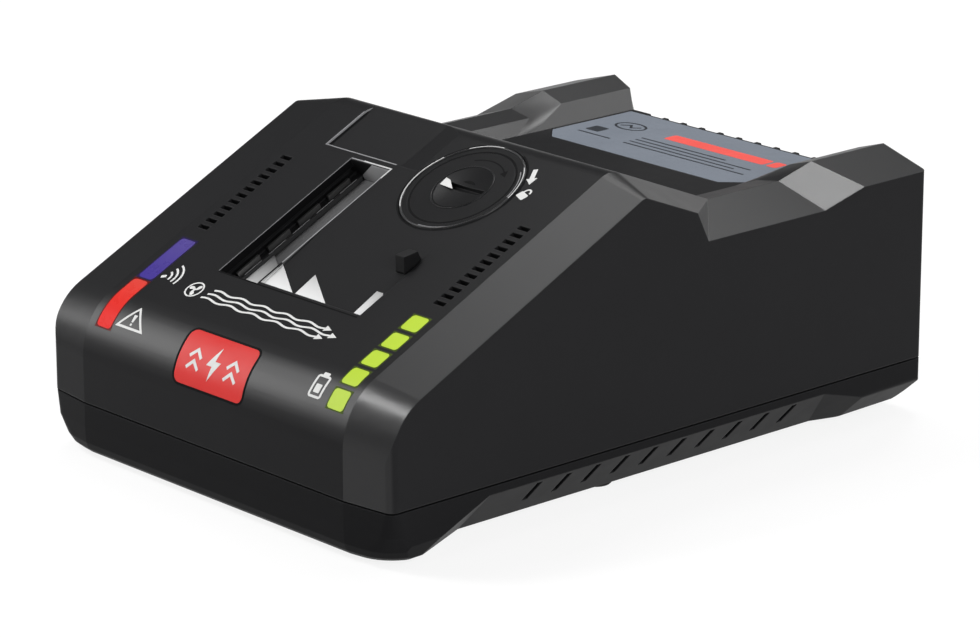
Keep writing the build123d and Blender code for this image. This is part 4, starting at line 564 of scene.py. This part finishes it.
# ------------------------------------------------------------------ module cover
RIM_RADIUS = 18.65
OUTLINE_RADIUS = 19.6
BOTTOM_GLINT_RADIUS = 18.1
INNER_GLINT_RADIUS = 17.5
GROOVE_RADIUS = 16.2
TURN_MARK_RADIUS = 12.6
TURN_MARK_HEAD = 50
DISH_RADIUS = 9.5
DISH_LINE_RADIUS = 9.15
DISH_SHADE_RADIUS = 8.6
FULL_CIRCLE = (0, 357, 119)     # degrees and steps of a line that closes on itself


def cover_arc(radius, start, end, steps):
    """Points on a circle round the cover's axis."""
    return arc(COVER_CENTRE, radius, start, end, steps)


bead("cover_bead", [skin(*p, 0.05) for p in cover_arc(RIM_RADIUS, *FULL_CIRCLE)], 0.32 * MM, "bead",
     body="cover")
bead("cover_dish_bead", [skin(*p, 0.02) for p in cover_arc(DISH_RADIUS, 0, 355, 71)], 0.22 * MM,
     "cover", body="cover")
# painted shade in the ring groove
printed("cover_groove", stroke(cover_arc(GROOVE_RADIUS, *FULL_CIRCLE), 0.75, closed=True), "gap",
        body="cover", high=0.015)
# painted shadow along the dish's lower edge
printed("cover_dish_line", stroke(cover_arc(DISH_LINE_RADIUS, 195, 345, 40), 0.5), "gap",
        body="cover", high=0.015)
printed("cover_rim_gleams", stroke(cover_arc(RIM_RADIUS, 152, 228, 30), 0.34)
        + stroke(cover_arc(RIM_RADIUS, 92, 128, 16), 0.28)
        + stroke(cover_arc(RIM_RADIUS, 2, 46, 18), 0.28),
        "gleam_bright", body="cover", low=0.2, high=0.4)
printed("cover_rim_glints", stroke(cover_arc(INNER_GLINT_RADIUS, 4, 42, 16), 0.28)
        + stroke(cover_arc(BOTTOM_GLINT_RADIUS, 268, 298, 12), 0.28),
        "gleam", body="cover", high=0.03)
# painted shade in the gap round the cover, laid on the housing
printed("cover_outline", stroke(cover_arc(OUTLINE_RADIUS, *FULL_CIRCLE), 0.6, closed=True), "gap",
        high=0.015)
printed("cover_dish_shade",
        [cover_arc(DISH_SHADE_RADIUS, 20, 150, 24) + moved([[(-4.0, 2.6), (6.0, 2.4)]],
                                                           at=COVER_CENTRE)[0]],
        "gap", body="cover", low=-0.66, high=-0.5)
# painted glint on the coin slot's left end, in the white print's material
slot_glint = [[(-8.7, 1.9), (-8.4, -1.2), (-2.6, -1.6), (-6.6, 1.5)]]
printed("cover_slot_glint", moved(slot_glint, at=COVER_CENTRE), "print", body="cover", high=0.04)
turn_mark = stroke(cover_arc(TURN_MARK_RADIUS, TURN_MARK_HEAD, 118, 20), 0.45)
turn_mark += moved([[(0.4, 1.2), (-1.1, -0.8), (1.7, -1.6)]],
                   at=cover_arc(TURN_MARK_RADIUS, TURN_MARK_HEAD, 118, 20)[0])
printed("cover_turn_mark", turn_mark, "gap", body="cover", high=0.02)

# ------------------------------------------------------------------ label
# a red bar in two pieces, an oval ring with a zigzag, a dark square and hairlines
RING_CENTRE, RING_REACH, RING_POINTS = (-28, 189.6), (5.6, 3.6), 36
HAIRLINES = ((-16.0, 20.0, 182.6), (-16.0, 33.0, 180.0), (-16.0, 28.5, 177.4),
             (-16.0, 35.0, 174.8), (-36.0, -22.0, 174.8))     # left end, right end, distance
printed("label_red_bar",
        [rounded(-11.0, 186.8, 31.0, 192.4, 1.0), rounded(32.2, 186.8, 36.4, 192.4, 1.0)],
        "label_red", surface=on_label, high=0.03)
turns = [2 * pi * k / RING_POINTS for k in range(RING_POINTS)]
ink = stroke([(RING_CENTRE[0] + RING_REACH[0] * cos(a), RING_CENTRE[1] + RING_REACH[1] * sin(a))
              for a in turns], 0.8, closed=True)
ink += stroke([(-31.6, 188.6), (-29.0, 190.8), (-26.8, 188.4), (-24.4, 190.6)], 0.8)
for first, last, at in HAIRLINES:
    ink += stroke([(first, at), (last, at)], 0.75)
ink += [rounded(-36.0, 177.6, -30.4, 182.8, 0.6)]
printed("label_hairlines", ink, "label_dark", surface=on_label, high=0.03)

# ------------------------------------------------------------------ floor and world
FLOOR_SIZE = 12
FLOOR_DROP = 0.0002     # metres below the feet, so that the two never share a plane
FLOOR_GLOW = 0.85
WORLD_FILL = 0.15       # the world's light on the object
CEILING = 0.13          # brightness overhead in mirror images, against 1 at the horizon
CEILING_START = 0.17    # direction's Z at which the ceiling is reached


def seen_directly(nt):
    """1 for camera, mirror and see-through rays, 0 for the light that falls on the object."""
    path = nt.nodes.new("ShaderNodeLightPath")
    best = path.outputs["Is Camera Ray"]
    for name in ("Is Glossy Ray", "Is Transmission Ray"):
        best = maths(nt, "MAXIMUM", best, path.outputs[name])
    return best


def floor_material():
    """White paper, mostly glowing to the eye; the rest is its own shading, which keeps the shadow."""
    mat, nt, shader = tree("pale_floor")
    shader.inputs["Base Color"].default_value = (0.86, 0.86, 0.86, 1)
    shader.inputs["Roughness"].default_value = 0.9
    shader.inputs["Specular IOR Level"].default_value = 0.0
    glow = nt.nodes.new("ShaderNodeEmission")
    glow.inputs["Color"].default_value = (1, 1, 1, 1)
    blend = nt.nodes.new("ShaderNodeMixShader")
    nt.links.new(maths(nt, "MULTIPLY", seen_directly(nt), FLOOR_GLOW), blend.inputs[0])
    nt.links.new(shader.outputs[0], blend.inputs[1])
    nt.links.new(glow.outputs[0], blend.inputs[2])
    nt.links.new(blend.outputs[0], nt.nodes["Material Output"].inputs["Surface"])
    return mat


bpy.ops.mesh.primitive_plane_add(size=FLOOR_SIZE, location=(0, 0, -FLOOR_DROP))
floor = bpy.context.object
floor.name = "floor"
floor.data.materials.append(floor_material())

# white round the horizon, dimmer overhead where the studio's ceiling is
world = bpy.data.worlds.new("studio")
scene.world = world
world.use_nodes = True
wt = world.node_tree
sky = wt.nodes["Background"]
split = wt.nodes.new("ShaderNodeSeparateXYZ")
wt.links.new(wt.nodes.new("ShaderNodeTexCoord").outputs["Generated"], split.inputs[0])
level = wt.nodes.new("ShaderNodeMix")
level.inputs[2].default_value = WORLD_FILL
wt.links.new(seen_directly(wt), level.inputs[0])
wt.links.new(ramp(wt, split.outputs["Z"], 0.0, CEILING_START, 1.0, CEILING), level.inputs[3])
sky.inputs["Color"].default_value = (1, 1, 1, 1)
wt.links.new(level.outputs[0], sky.inputs["Strength"])


# ------------------------------------------------------------------ lamps
def softbox(name, toward, far, size, radiance, aim=(0, 0, 50), long_side=(1, 0, 0)):
    """Rectangular lamp, far metres from its aim in a direction; size in metres, aim in millimetres."""
    target = Vector(aim) * MM
    back = Vector(toward).normalized()
    data = bpy.data.lights.new(name, "AREA")
    data.shape = "RECTANGLE"
    data.size, data.size_y = size
    data.energy = radiance * pi * size[0] * size[1]
    lamp = bpy.data.objects.new(name, data)
    scene.collection.objects.link(lamp)
    side = Vector(long_side) - back * back.dot(Vector(long_side))
    side.normalize()
    turn = Matrix((side, back.cross(side), back)).transposed()
    lamp.matrix_world = Matrix.Translation(target + back * far) @ turn.to_4x4()


# lamps that the bands, the horns, the nose and the front corner mirror toward the camera
softbox("rear_left_strip", toward=(-0.39, 0.365, 0.845), far=1.3, size=(0.95, 0.34), radiance=6.8,
        long_side=(0.35, 0.6, -0.09))
softbox("horn_light", toward=(-0.265, 0.42, 0.868), far=1.1, size=(0.2, 0.2), radiance=25.0,
        aim=(68, 72, 75))
softbox("left_horn_light", toward=(0.101, 0.667, 0.739), far=1.2, size=(0.3, 0.3), radiance=8.0,
        aim=(-48, 80, 75))
softbox("front_left", toward=(-0.76, -0.5, 0.36), far=1.0, size=(0.5, 0.5), radiance=6.2,
        aim=(0, -100, 42), long_side=(-0.5, 0.76, 0.0))
softbox("corner_light", toward=(-0.545, -0.36, 0.755), far=0.9, size=(0.2, 0.18), radiance=43.0,
        aim=(64, -98, 45))
# rim light and fills
softbox("rear_right_rim", toward=(0.50, 0.70, 0.50), far=1.3, size=(0.4, 0.4), radiance=4.0)
softbox("right_fill", toward=(0.95, -0.15, 0.30), far=1.4, size=(1.0, 0.8), radiance=7.5)
softbox("rear_fill", toward=(0.10, 0.95, 0.25), far=1.5, size=(1.0, 0.6), radiance=4.0)
softbox("left_fill", toward=(-0.97, 0.10, 0.02), far=1.5, size=(0.8, 0.4), radiance=1.6)

# ------------------------------------------------------------------ camera, fitted to the photograph
CAMERA_PLACE = (0.8872, -0.8033, 0.4013)
CAMERA_AIM = (0.022, -0.009, 0.040)
CAMERA_ROLL = 0.06      # degrees
LENS, SENSOR = 156.7, 36
SHIFT_X = -0.0286

cam_data = bpy.data.cameras.new("camera")
cam = bpy.data.objects.new("camera", cam_data)
scene.collection.objects.link(cam)
cam_data.lens = LENS
cam_data.sensor_width = SENSOR
cam_data.shift_x = SHIFT_X
cam.location = CAMERA_PLACE
view = Vector(CAMERA_AIM) - cam.location
turn = view.to_track_quat("-Z", "Y").to_matrix() @ Matrix.Rotation(radians(CAMERA_ROLL), 3, "Z")
cam.rotation_euler = turn.to_euler()
scene.camera = cam
scene.view_settings.view_transform = "Standard"
